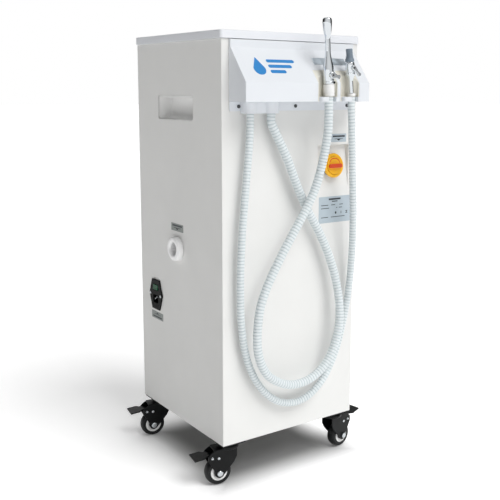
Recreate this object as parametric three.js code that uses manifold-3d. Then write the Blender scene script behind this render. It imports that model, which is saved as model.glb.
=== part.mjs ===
// Mobile dental suction unit: a white steel cabinet on four braked casters, with a front console that
// feeds and holds two suction handpieces. Millimetres, +Z up, front towards -Y.
// The sizes below are given about an origin on the floor under the middle of the cabinet. At the end
// the whole unit is moved so that the origin lies under the middle of its outline, hoses left out.
import * as THREE from 'three';
import { mergeVertices } from 'three/addons/utils/BufferGeometryUtils.js';
import Module from 'manifold-3d';

const wasm = await Module();
wasm.setup();

// ---------------------------------------------------------------- driving dimensions
const GAP = 0.3; // between touching pieces
const RUN = 0.5; // between pieces that turn or slide in each other

const CABINET = { width: 310, depth: 328, height: 750, underside: 86, sheet: 1.5 };
const COVER = { thickness: 15, overhang: 3, corner: 4, rim: 9, hollow: 11 };
const BASE = { lip: 28, sheet: 2, setback: 1.2 };
const HANDLE = { width: 138, height: 46, depth: 30, wall: 1.5, flange: 9, corner: 4, y: 7, drop: 123 };
const VENT = { width: 150, height: 5, pitch: 13, count: 11, z: 330 };

const CONSOLE = {
  halfWidth: 140, wall: 3, setDown: 1, band: 14, slope: 60, face: 34,
  topProud: 6, frontProud: 55, stripHeight: 16, stripProud: 1.8,
};
const MANIFOLD = { x: [-117, -47], proud: 29, hang: 21, corner: 9 };
const HOSE = { hve: 16.5, se: 14, socketDepth: 9, socketWall: 1.2 };
const CUFF_OVER = { hve: 3.9, se: 1 }; // how much wider a cuff is than its hose

const HOLDER = {
  width: 46, back: 19, floor: 9, scoop: 21, scoopTop: 21.8, scoopDepth: 14.6, tongue: 10, tongueInset: 3,
  tongueCorner: 6, tongueRoot: 8,
};
const HANDPIECE_Y = -218;
const HVE = {
  x: 42.5, cupX: 39, lean: 3, cuff: HOSE.hve + CUFF_OVER.hve, cuffHeight: 22, body: 20.5, bodyTop: 49,
  neck: 9.8, neckFoot: 78, neckTop: 104, head: 17.4, headFoot: 126, length: 140.4, mouth: 7, mouthDepth: 22,
};
const SE = {
  x: 96.5, cupX: 91.5, lean: 5.4, cuff: HOSE.se + CUFF_OVER.se, cuffHeight: 5, foot: 9.1, footTop: 30,
  body: 17.4, bodyFoot: 39, tip: 12.3, tipRoot: 17, tipLength: 24, length: 87, mouth: 6, mouthDepth: 12,
};
const HVE_VALVE = { z: 38, barrel: 12, arm: 17.5, armWidth: 9, armThick: 3, tilt: -17 };
const SE_VALVE = { z: 52, barrel: 9, arm: 21, armWidth: 7, armThick: 3, tilt: -48 };

const POCKET = { x: [61, 137], drop: 193, height: 85, depth: 10 };
const SWITCH = { x: 96, drop: 41, collar: 41, collarThick: 6, plate: 47.5, plateThick: 7, dial: 35, dialProud: 3 };
const SWITCH_BAR = { width: 9, height: 5, length: 31, shaft: 8 };

const PORT = { y: 3, z: 438, flange: 48, face: 42, proud: 12, bore: 25, spigot: 32, inner: 24 };
const INLET = { y: 97, z: 325, half: 31.5, halfTop: 16, halfMid: 28, flange: 2.5, bodyWidth: 28, bodyHeight: 47, bodyDepth: 30 };
const SOCKET = { width: 22, height: 16.5, depth: 17, drop: 9 };
const ROCKER = { width: 20, height: 12, depth: 9, rise: 15, tilt: 8, proud: 1.5 };
const FUSE = { width: 20, height: 5, depth: 22, drop: 21 };

const CASTER = {
  height: 86, inset: 27, trail: 22, heading: 10, plate: 52, plateThick: 2.7, boss: 34, bossThick: 3,
  bolt: 20, boltHole: 5.5, kingpin: 9.4, kingpinHead: 15, kingpinHeadThick: 4,
};
const WHEEL = { radius: 25.8, width: 20, tread: 16.8, shoulder: 22.5, bore: 8, hub: 9.4 };
const FORK = { cheek: 2.5, clear: 2, head: 42, headThick: 8.7, bridge: 3 };
const PEDAL = { pivotX: -37, pivotZ: 58, pin: 5, length: 36, width: 34, thick: 2.6, tongue: 21, rise: 7 };
const STOP_PIN = { x: -24, z: 56.4, diameter: 4 };

const BLOWER = { housing: 168, housingLength: 95, motor: 130, motorLength: 95, x: 20, y: 20, z: 205 };
const CRADLE = { inset: 12, depth: 120, drop: 30 };
const TANK = { diameter: 138, height: 250, x: -66, y: 90, wall: 3 };
const SHELF = { z: 400, thick: 2 };
const BOX = { width: 120, depth: 60, height: 90, x: 80, y: 120 };
const PIPE = { outer: 24, inner: 19, clear: 2, feedX: -82, feedDrop: 11, riserX: -108 };

// ---------------------------------------------------------------- derived places
const halfW = CABINET.width / 2;
const halfD = CABINET.depth / 2;
const bottom = CABINET.underside;
const top = bottom + CABINET.height;
const front = -halfD;
const sheet = CABINET.sheet;
const consoleFront = front - CONSOLE.frontProud;
const holderBack = consoleFront + HOLDER.back;
const consoleTop = top - CONSOLE.setDown;
const shoulder = consoleTop - CONSOLE.band;
const kink = shoulder - CONSOLE.slope;
const consoleBottom = kink - CONSOLE.face;
const cupFloor = consoleBottom + HOLDER.floor;
const manifoldBottom = consoleBottom - MANIFOLD.hang;
const feedZ = consoleBottom - PIPE.feedDrop;
const handleZ = top - HANDLE.drop;
const pocketTop = top - POCKET.drop;
const switchZ = pocketTop - SWITCH.drop;
const forkInside = WHEEL.width / 2 + FORK.clear;
const pocketTilt = Math.atan2(POCKET.depth, POCKET.height);
const manifoldMid = front - GAP - (MANIFOLD.proud - GAP) / 2;
const ARC = 4; // steps in half of a full circle
const CORNER = 3; // steps in a round corner

// ---------------------------------------------------------------- materials
const paint = (color, roughness, metalness = 0) =>
  new THREE.MeshStandardMaterial({ color, roughness, metalness });
const WHITE_STEEL = () => paint('#eceeed', 0.35);
const WHITE_PLASTIC = () => paint('#f0f2f4', 0.4);
const CHROME = () => paint('#d5dade', 0.08, 1);
const STEEL = () => paint('#b9bdc0', 0.35, 1);
const BLACK_STEEL = () => paint('#17191a', 0.45);
const BLACK_PLASTIC = () => paint('#151617', 0.5);
const BLACK_RUBBER = () => paint('#1b1c1d', 0.75);
const GREY_RUBBER = () => paint('#7b8791', 0.65);
const HOSE_PLASTIC = () => paint('#dce4e6', 0.5);
const YELLOW = () => paint('#f6b312', 0.4);
const RED = () => paint('#e0441c', 0.4);
const GREEN = () => paint('#1f7a4c', 0.25);
const GREY_IRON = () => paint('#8c9296', 0.5, 0.6);

// ---------------------------------------------------------------- outlines and solids
function polygon(points) {
  return new THREE.Shape(points.map(([x, y]) => new THREE.Vector2(x, y)));
}

function rectangle([x0, x1], [y0, y1], radius = 0) {
  const steps = radius === 0 ? 0 : CORNER;
  const corners = [[x1 - radius, y0 + radius, -1], [x1 - radius, y1 - radius, 0],
    [x0 + radius, y1 - radius, 1], [x0 + radius, y0 + radius, 2]];
  const points = corners.flatMap(([cx, cy, quarter]) => Array.from({ length: steps + 1 }, (_, i) => {
    const angle = (quarter + (steps === 0 ? 0 : i / steps)) * Math.PI / 2;
    return [cx + radius * Math.cos(angle), cy + radius * Math.sin(angle)];
  }));
  return polygon(points);
}

function centred(width, height, radius = 0, x = 0, y = 0) {
  return rectangle([x - width / 2, x + width / 2], [y - height / 2, y + height / 2], radius);
}

// A round hole of the given clear diameter: its flats, not its corners, lie on the circle.
function roundHole(x, y, diameter) {
  const hole = new THREE.Path();
  hole.absarc(x, y, diameter / 2 / Math.cos(Math.PI / (2 * ARC)), 0, 2 * Math.PI, false);
  return hole;
}

// The outline's first and second coordinates lie along the two axes named by its key.
const EXTRUSION_AXES = {
  x: [[0, 1, 0], [0, 0, 1], [1, 0, 0]],
  y: [[1, 0, 0], [0, 0, 1], [0, -1, 0]],
  z: [[1, 0, 0], [0, 1, 0], [0, 0, 1]],
};

function prism(axis, outline, from, to) {
  const geometry = new THREE.ExtrudeGeometry(outline, {
    depth: to - from, bevelEnabled: false, curveSegments: ARC,
  });
  const basis = EXTRUSION_AXES[axis].map((v) => new THREE.Vector3(...v));
  geometry.applyMatrix4(new THREE.Matrix4().makeBasis(...basis));
  const start = axis === 'y' ? to : from;
  geometry.translate(axis === 'x' ? start : 0, axis === 'y' ? start : 0, axis === 'z' ? start : 0);
  return outward(geometry);
}

function block([x0, x1], [y0, y1], [z0, z1]) {
  const geometry = new THREE.BoxGeometry(x1 - x0, y1 - y0, z1 - z0);
  return bare(geometry.translate((x0 + x1) / 2, (y0 + y1) / 2, (z0 + z1) / 2));
}

// A turned solid about +Z from [radius, height] points that run up its outside.
function turned(profile, sides = 16) {
  const geometry = new THREE.LatheGeometry(profile.map(([r, z]) => new THREE.Vector2(r, z)), sides);
  return outward(geometry.rotateX(Math.PI / 2));
}

// A closed ring profile is given once round; its first point is repeated to close it.
function ring(profile, sides = 20) {
  return turned([...profile, profile[0]], sides);
}

function rod(diameter, from, to, sides = 16) {
  return turned([[0, from], [diameter / 2, from], [diameter / 2, to], [0, to]], sides);
}

// A cutter for a hole of the given clear diameter.
function drill(diameter, from, to, sides = 16) {
  return rod(diameter / Math.cos(Math.PI / sides), from, to, sides);
}

function alongX(geometry) {
  return geometry.rotateY(Math.PI / 2);
}

function alongY(geometry) {
  return geometry.rotateX(-Math.PI / 2);
}

function bare(geometry) {
  const plain = geometry.clone();
  for (const key of Object.keys(plain.attributes)) {
    if (key !== 'position') plain.deleteAttribute(key);
  }
  const merged = mergeVertices(plain, 1e-4);
  const index = [...merged.index.array];
  const kept = [];
  for (let i = 0; i < index.length; i += 3) {
    const [a, b, c] = index.slice(i, i + 3);
    if (a !== b && b !== c && c !== a) kept.push(a, b, c);
  }
  merged.setIndex(kept);
  return merged;
}

function volume(geometry) {
  const { position } = geometry.attributes;
  const index = geometry.index.array;
  const [a, b, c] = [new THREE.Vector3(), new THREE.Vector3(), new THREE.Vector3()];
  let total = 0;
  for (let i = 0; i < index.length; i += 3) {
    a.fromBufferAttribute(position, index[i]);
    b.fromBufferAttribute(position, index[i + 1]);
    c.fromBufferAttribute(position, index[i + 2]);
    total += a.dot(b.cross(c)) / 6;
  }
  return total;
}

function outward(geometry) {
  const plain = bare(geometry);
  if (volume(plain) < 0) plain.setIndex([...plain.index.array].reverse());
  return plain;
}

function solid(geometry) {
  return new wasm.Manifold(new wasm.Mesh({
    numProp: 3,
    vertProperties: new Float32Array(geometry.attributes.position.array),
    triVerts: new Uint32Array(geometry.index.array),
  }));
}

function unsolid(manifold) {
  const mesh = manifold.getMesh();
  const geometry = new THREE.BufferGeometry();
  geometry.setAttribute('position', new THREE.BufferAttribute(new Float32Array(mesh.vertProperties), 3));
  geometry.setIndex([...mesh.triVerts]);
  return geometry;
}

function join(first, ...others) {
  return unsolid(others.reduce((sum, other) => sum.add(solid(other)), solid(first)));
}

function cut(first, ...others) {
  return unsolid(others.reduce((rest, other) => rest.subtract(solid(other)), solid(first)));
}

const unit = new THREE.Group();

function piece(name, geometry, material, parent = unit) {
  const mesh = new THREE.Mesh(geometry, material);
  mesh.name = name;
  parent.add(mesh);
  return mesh;
}

// ---------------------------------------------------------------- cabinet
function cabinet() {
  const inner = { x: halfW - sheet - GAP, y: halfD - sheet - GAP };
  const lipTop = bottom + BASE.lip;
  const tray = block([-inner.x, inner.x], [-inner.y, inner.y], [bottom, lipTop]);
  const trayInside = block(
    [-inner.x + BASE.sheet, inner.x - BASE.sheet],
    [-inner.y + BASE.sheet, inner.y - BASE.sheet],
    [bottom + BASE.sheet, lipTop + 1],
  );
  piece('base_pan', cut(tray, trayInside), WHITE_STEEL());

  for (const [name, side] of [['left', -1], ['right', 1]]) {
    const outline = rectangle([-inner.y, inner.y], [bottom, top]);
    outline.holes.push(centred(HANDLE.width, HANDLE.height, HANDLE.corner, HANDLE.y, handleZ));
    if (side < 0) {
      outline.holes.push(roundHole(PORT.y, PORT.z, PORT.spigot + 2 * GAP));
      outline.holes.push(centred(INLET.bodyWidth + 2 * GAP, INLET.bodyHeight + 2 * GAP, 0, INLET.y, INLET.z));
    }
    const from = side < 0 ? -halfW : halfW - sheet;
    piece(`${name}_panel`, prism('x', outline, from, from + sheet), WHITE_STEEL());
    handleCup(`${name}_handle_cup`, side);
  }
  frontPanel();
  rearPanel();
  topCover();
}

// A pocket behind the side panel, open to the outside, with a flange against the panel's inner face.
function handleCup(name, side) {
  const inside = halfW - sheet - GAP;
  const flange = centred(
    HANDLE.width + 2 * HANDLE.flange, HANDLE.height + 2 * HANDLE.flange, HANDLE.corner, HANDLE.y, handleZ,
  );
  const shell = centred(
    HANDLE.width + 2 * HANDLE.wall, HANDLE.height + 2 * HANDLE.wall,
    HANDLE.corner + HANDLE.wall, HANDLE.y, handleZ,
  );
  const pocket = centred(HANDLE.width, HANDLE.height, HANDLE.corner, HANDLE.y, handleZ);
  const deep = inside - HANDLE.depth;
  const parts = side < 0
    ? [prism('x', flange, -inside, -inside + HANDLE.wall), prism('x', shell, -inside, -deep),
      prism('x', pocket, -inside - 1, -deep - HANDLE.wall)]
    : [prism('x', flange, inside - HANDLE.wall, inside), prism('x', shell, deep, inside),
      prism('x', pocket, deep + HANDLE.wall, inside + 1)];
  piece(name, cut(join(parts[0], parts[1]), parts[2]), WHITE_PLASTIC());
}

// The sheet with a pressed pocket that deepens upwards, so that the switch in it faces slightly up.
function frontPanel() {
  const { height, depth } = POCKET;
  const [z0, z1] = [pocketTop - height, pocketTop];
  const plain = prism('y', rectangle([-halfW, halfW], [bottom, top]), front, front + sheet);
  const backed = prism(
    'x', polygon([[front + 0.1, z0 - sheet], [front + 0.1, z1 + sheet], [front + depth + sheet, z1 + sheet],
      [front + depth + sheet, z1], [front + sheet, z0 - sheet]]),
    POCKET.x[0] - sheet, POCKET.x[1] + sheet,
  );
  const hollow = prism(
    'x', polygon([[front - 1, z0], [front, z0], [front + depth, z1], [front - 1, z1]]), ...POCKET.x,
  );
  const shaftHole = drill(SWITCH_BAR.shaft + 6, -30, 30);
  piece('front_panel', cut(join(plain, backed), hollow, onPocket(alongY(shaftHole))), WHITE_STEEL());
}

// Moves a geometry made about the origin, facing -Y, onto the sloping floor of the switch pocket.
function onPocket(geometry) {
  const z0 = pocketTop - POCKET.height;
  const y = front + (switchZ - z0) * Math.tan(pocketTilt);
  return geometry.rotateX(-pocketTilt).translate(SWITCH.x, y, switchZ);
}

function rearPanel() {
  const outline = rectangle([-halfW, halfW], [bottom, top]);
  for (let i = 0; i < VENT.count; i += 1) {
    outline.holes.push(centred(VENT.width, VENT.height, 0, 0, VENT.z + i * VENT.pitch));
  }
  piece('rear_panel', prism('y', outline, halfD - sheet, halfD), WHITE_STEEL());
}

function topCover() {
  const { thickness, overhang, corner, rim, hollow } = COVER;
  const outside = centred(CABINET.width + 2 * overhang, CABINET.depth + 2 * overhang, corner);
  const hollowOutline = centred(CABINET.width + 2 * overhang - 2 * rim, CABINET.depth + 2 * overhang - 2 * rim);
  const slab = prism('z', outside, top + GAP, top + thickness);
  const under = prism('z', hollowOutline, top - 1, top + hollow);
  piece('top_cover', cut(slab, under), WHITE_PLASTIC());
}

// ---------------------------------------------------------------- console
function consoleOutline(inset) {
  const slope = Math.atan2(shoulder - kink, CONSOLE.frontProud - CONSOLE.topProud);
  const bend = inset * Math.tan((Math.PI / 2 - slope) / 2);
  const topY = front - CONSOLE.topProud + inset;
  const frontY = consoleFront + inset;
  return polygon([
    [front - GAP, consoleBottom + inset], [frontY, consoleBottom + inset],
    [frontY, kink - bend], [topY, shoulder - bend], [topY, consoleTop - inset],
    [front - GAP, consoleTop - inset],
  ]);
}

function consoleShell() {
  const { halfWidth, wall } = CONSOLE;
  const shell = prism('x', consoleOutline(0), -halfWidth, halfWidth);
  const strip = block(
    [-halfWidth - 1, halfWidth + 1], [front - GAP - CONSOLE.stripProud, front - GAP],
    [consoleBottom - CONSOLE.stripHeight, consoleBottom + wall],
  );
  const inside = prism('x', consoleOutline(wall), -halfWidth + wall, halfWidth - wall);
  const back = block(
    [-halfWidth + wall, halfWidth - wall], [front - wall, front + 1],
    [consoleBottom + wall, consoleTop - wall],
  );
  const bays = [HVE.cupX, SE.cupX].map((x) => block(
    [x - HOLDER.width / 2 - GAP, x + HOLDER.width / 2 + GAP],
    [consoleFront - 1, holderBack + GAP], [consoleBottom - 1, shoulder],
  ));
  const feed = prism(
    'z', rectangle([MANIFOLD.x[0] - GAP, MANIFOLD.x[1] + GAP], [front - MANIFOLD.proud - GAP, front], 0),
    consoleBottom - CONSOLE.stripHeight - 1, consoleBottom + wall + 1,
  );
  piece('console_shell', cut(join(shell, strip), inside, back, ...bays, feed), WHITE_PLASTIC());
}

// A cup that fills its bay flush with the console, scooped out at the front, with a slotted floor
// that the handpiece's cuff stands on and that the hose leaves through.
function holder(name, cupX, axisX, hose) {
  const half = HOLDER.width / 2;
  const slopeRun = (CONSOLE.frontProud - CONSOLE.topProud) / (shoulder - kink);
  const backTop = kink + HOLDER.back / slopeRun;
  const body = prism('x', polygon([
    [holderBack, consoleBottom], [holderBack, backTop], [consoleFront, kink],
    [consoleFront, consoleBottom],
  ]), cupX - half, cupX + half);
  const tongue = prism(
    'z', rectangle(
      [cupX - half + HOLDER.tongueInset, cupX + half - HOLDER.tongueInset],
      [consoleFront - HOLDER.tongue, consoleFront + HOLDER.tongueRoot], HOLDER.tongueCorner,
    ), consoleBottom, cupFloor,
  );
  const scoop = turned([
    [0, cupFloor], [HOLDER.scoop, cupFloor], [HOLDER.scoopTop, backTop + 2], [0, backTop + 2],
  ], 28).scale(1, HOLDER.scoopDepth / HOLDER.scoopTop, 1).translate(cupX, consoleFront, 0);
  const slotHalf = hose / 2 + 0.4;
  const slot = new THREE.Shape();
  slot.moveTo(axisX - slotHalf, consoleFront - HOLDER.tongue - 1);
  slot.lineTo(axisX + slotHalf, consoleFront - HOLDER.tongue - 1);
  slot.lineTo(axisX + slotHalf, HANDPIECE_Y);
  slot.absarc(axisX, HANDPIECE_Y, slotHalf, 0, Math.PI, false);
  const slotCut = prism('z', slot, consoleBottom - 1, cupFloor + 1);
  piece(name, cut(join(body, tongue), scoop, slotCut), WHITE_PLASTIC());
}

// The block under the console that the two hoses plug into.
function hoseManifold() {
  const { x, proud, corner } = MANIFOLD;
  const z0 = manifoldBottom;
  const outline = rectangle(x, [front - proud, front - GAP], corner);
  const body = prism('z', outline, z0, consoleBottom + CONSOLE.wall);
  const sockets = [[seExit().x, HOSE.se], [hveExit().x, HOSE.hve]].map(([at, d]) =>
    drill(d - 2 * HOSE.socketWall, z0 - 1, z0 + HOSE.socketDepth).translate(at, manifoldMid, 0));
  piece('hose_manifold', cut(body, ...sockets), WHITE_PLASTIC());
}

function seExit() {
  return new THREE.Vector3(-104.5, manifoldMid, manifoldBottom - GAP);
}

function hveExit() {
  return new THREE.Vector3(-59, manifoldMid, manifoldBottom - GAP);
}

// ---------------------------------------------------------------- handpieces
// A group whose heights run up a handpiece's axis; it leans about the edge of its cuff, on the cup's floor.
function leaning({ x, lean, cuff }) {
  const angle = THREE.MathUtils.degToRad(lean);
  const foot = cupFloor + GAP + (cuff / 2) * Math.sin(angle);
  const group = new THREE.Group();
  group.position.set(x, HANDPIECE_Y, foot);
  group.rotation.y = -angle;
  unit.add(group);
  return group;
}

function hveHandpiece() {
  const group = leaning(HVE);
  const { cuffHeight, bodyTop, neckFoot, neckTop, headFoot, length } = HVE;
  const cuff = HVE.cuff / 2;
  piece('hve_cuff', turned([
    [0, 0], [cuff - 1, 0], [cuff, 1], [cuff, cuffHeight - 2], [cuff - 1, cuffHeight], [0, cuffHeight],
  ]), WHITE_PLASTIC(), group);
  const neck = HVE.neck / 2;
  const head = HVE.head / 2;
  const body = HVE.body / 2;
  const foot = cuffHeight + GAP;
  const handle = turned([
    [0, foot], [body - 0.8, foot], [body, foot + 1.7], [body, bodyTop], [body - 0.9, bodyTop + 6],
    [neck + 2.4, neckFoot - 13.5], [neck + 0.6, neckFoot - 5], [neck, neckFoot], [neck, neckTop],
    [neck + 1.7, neckTop + 9], [head - 0.4, headFoot], [head, length - 7], [head - 1.3, length - 2.5],
    [head - 4.5, length], [0, length],
  ]);
  const mouth = drill(HVE.mouth, length - HVE.mouthDepth, length + 1, 12);
  piece('hve_handpiece', cut(handle, mouth, valveBore(HVE_VALVE, body)), CHROME(), group);
  valveLever('hve_valve', HVE_VALVE, body, CHROME(), group);
}

function valveBore({ barrel, z }, bodyRadius) {
  return alongY(drill(barrel + 2 * RUN, -bodyRadius - 2, bodyRadius + 2)).translate(0, 0, z);
}

// A barrel across the handpiece with an arm on its front end.
function valveLever(name, valve, bodyRadius, material, group) {
  const reach = bodyRadius + 1.2;
  const barrel = alongY(rod(valve.barrel, -reach - valve.armThick + 0.5, reach, 16));
  const arm = prism('y', rectangle(
    [-valve.armWidth / 2, valve.arm], [-valve.armWidth / 2, valve.armWidth / 2], valve.armWidth / 2 - 0.1,
  ), -reach - valve.armThick, -reach);
  const lever = join(barrel, arm);
  lever.rotateY(THREE.MathUtils.degToRad(-valve.tilt));
  piece(name, lever.translate(0, 0, valve.z), material, group);
}

function seHandpiece() {
  const group = leaning(SE);
  const { cuffHeight, footTop, bodyFoot, tipLength, length } = SE;
  const cuff = SE.cuff / 2;
  piece('se_cuff', turned([
    [0, 0], [cuff - 0.6, 0], [cuff, 1], [cuff, cuffHeight - 1], [cuff - 0.8, cuffHeight], [0, cuffHeight],
  ]), WHITE_PLASTIC(), group);
  const foot = SE.foot / 2;
  const body = SE.body / 2;
  const tipBase = length - tipLength;
  const handle = turned([
    [0, cuffHeight + GAP], [foot, cuffHeight + GAP], [foot, footTop], [body - 1.4, bodyFoot - 3],
    [body, bodyFoot], [body, tipBase - 3], [body - 0.8, tipBase - GAP],
    [0, tipBase - GAP],
  ]);
  piece('se_handpiece', cut(handle, valveBore(SE_VALVE, body)), CHROME(), group);
  valveLever('se_valve', SE_VALVE, body, CHROME(), group);
  const root = SE.tipRoot / 2;
  const end = SE.tip / 2;
  const tip = turned([
    [0, tipBase], [root, tipBase], [root, tipBase + 3], [end + 0.3, tipBase + 13], [end, length - 3],
    [end - 0.8, length], [0, length],
  ]);
  const mouth = drill(SE.mouth, length - SE.mouthDepth, length + 1, 12);
  piece('se_tip', cut(tip, mouth), GREY_RUBBER(), group);
}

// ---------------------------------------------------------------- hoses
// Each route is a list of points chosen by hand, from the manifold's socket down, round and up to the cuff.
const HVE_ROUTE = [
  [-59, -178.6, 705.6], [-59, -178.6, 690], [-50, -179.5, 671], [-24, -181, 622], [2, -181, 565],
  [28, -181, 517], [53, -181, 478], [77, -183, 428], [92, -187, 379], [98, -192, 331], [96, -195, 292],
  [85, -196, 253], [66, -196, 220], [36, -196, 197], [7, -196, 189], [-26, -196, 191],
  [-54, -196, 203], [-77, -196, 221], [-93, -197, 248], [-101, -198, 280], [-101, -199, 319],
  [-96, -200, 355], [-83, -201, 390], [-64, -202, 425], [-42, -202, 460], [-18, -202, 495],
  [5, -202, 529], [24, -204, 566], [34, -208, 603], [39.5, -213, 640], [42.5, -217, 676],
  [42.5, -218, 706], [42.5, -218, 736],
];
const SE_ROUTE = [
  [-104.5, -178.6, 705.6], [-104.5, -178.6, 690], [-106, -179, 661], [-115, -180, 572],
  [-123, -180, 484], [-126, -179, 392], [-123, -178, 317], [-112, -177, 258], [-95, -177, 215],
  [-73, -177, 183], [-45, -177, 158], [-16, -177, 146], [15, -177, 144], [44, -177, 154],
  [73, -177, 178], [93, -176, 207], [108, -176, 240], [123, -177, 296], [131, -181, 356],
  [130, -190, 439], [122, -200, 519], [110, -209, 599], [102.5, -215, 655], [98, -218, 696],
  [96.5, -218, 716], [96.5, -218, 736],
];

function hose(name, route, diameter, steps) {
  const curve = new THREE.CatmullRomCurve3(route.map((p) => new THREE.Vector3(...p)), false, 'centripetal');
  const section = new THREE.Shape();
  section.absarc(0, 0, diameter / 2, 0, 2 * Math.PI, false);
  const geometry = new THREE.ExtrudeGeometry(section, { steps, extrudePath: curve, curveSegments: ARC });
  piece(name, outward(geometry), HOSE_PLASTIC());
}

// ---------------------------------------------------------------- front fittings
function mainSwitch() {
  const { collar, collarThick, plate, plateThick, dial, dialProud } = SWITCH;
  const { width, height, length, shaft } = SWITCH_BAR;
  // Heights run outwards from the pocket's sloping floor.
  const out = (geometry) => onPocket(geometry.rotateX(Math.PI / 2));
  const c = GAP;
  const p = c + collarThick + GAP;
  const hole = shaft / 2 + RUN;
  piece('switch_collar', out(ring([
    [hole, c], [collar / 2, c], [collar / 2, c + collarThick], [hole, c + collarThick],
  ])), paint('#5a5f66', 0.5));
  piece('switch_plate', out(ring([
    [hole, p], [plate / 2 - 1.5, p], [plate / 2, p + 1.5], [plate / 2, p + plateThick - 2],
    [plate / 2 - 2, p + plateThick], [dial / 2 + RUN + 0.6, p + plateThick],
    [dial / 2 + RUN, p + plateThick - 0.6], [dial / 2 + RUN, p + 2.5], [hole, p + 2.5],
  ])), YELLOW());
  const seat = p + 2.5 + GAP;
  const face = p + plateThick + dialProud;
  const disc = turned([
    [0, -12], [shaft / 2, -12], [shaft / 2, seat], [dial / 2, seat], [dial / 2, face - 2.5],
    [dial / 2 - 1, face - 2], [0, face - 2],
  ], 20);
  const bar = prism('z', centred(length, width, 3), face - 3, face + height);
  piece('switch_knob', out(join(disc, bar)), RED());
}

// ---------------------------------------------------------------- left side fittings
function exhaustPort() {
  const { flange, face, proud, bore, spigot, inner } = PORT;
  const outer = ring([
    [bore / 2, -inner], [spigot / 2, -inner], [spigot / 2, GAP], [flange / 2, GAP], [flange / 2, proud - 4],
    [flange / 2 - 1, proud - 1.5], [face / 2, proud], [bore / 2 + 2, proud], [bore / 2, proud - 2],
  ]);
  piece('exhaust_port', outer.rotateY(-Math.PI / 2).translate(-halfW, PORT.y, PORT.z), WHITE_PLASTIC());
}

function powerInlet() {
  const { y, z, half, halfTop, halfMid, flange, bodyWidth, bodyHeight, bodyDepth } = INLET;
  const face = -halfW - GAP;
  const hexagon = polygon([
    [y - halfMid, z], [y - halfTop, z - half], [y + halfTop, z - half],
    [y + halfMid, z], [y + halfTop, z + half], [y - halfTop, z + half],
  ]);
  const body = join(
    prism('x', hexagon, face - flange, face),
    prism('x', centred(bodyWidth, bodyHeight, 0, y, z), face - 1, face + bodyDepth),
  );
  const socket = prism('x', centred(SOCKET.width, SOCKET.height, 3, y, z - SOCKET.drop),
    face - flange - 1, face - flange + SOCKET.depth);
  const rockerBay = prism('x', centred(ROCKER.width + 2 * RUN, ROCKER.height + 2 * RUN, 0, y, z + ROCKER.rise),
    face - flange - 1, face - flange + ROCKER.depth + 3);
  const fuseBay = prism('x', centred(FUSE.width + 2 * RUN, FUSE.height + 2 * RUN, 0, y, z - FUSE.drop),
    face - flange - 1, face - flange + FUSE.depth + 1);
  piece('power_inlet', cut(body, socket, rockerBay, fuseBay), BLACK_PLASTIC());

  const pivot = [face - flange + 3.5, y, z + ROCKER.rise];
  const key = prism('y', polygon([
    [-3.5 - ROCKER.proud, -ROCKER.height / 2 + 0.8], [-3.5 - ROCKER.proud + 0.6, 0],
    [-3.5 - ROCKER.proud, ROCKER.height / 2 - 0.8],
    [2.5, ROCKER.height / 2 - 1.6], [2.5, -ROCKER.height / 2 + 1.6],
  ].reverse()), -ROCKER.width / 2, ROCKER.width / 2);
  const tilt = THREE.MathUtils.degToRad(ROCKER.tilt);
  piece('rocker_switch', outward(key).rotateY(tilt).translate(...pivot), GREEN());

  const drawer = prism('x', centred(FUSE.width, FUSE.height, 0, y, z - FUSE.drop),
    face - flange, face - flange + FUSE.depth);
  piece('fuse_drawer', drawer, BLACK_PLASTIC());
}

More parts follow.
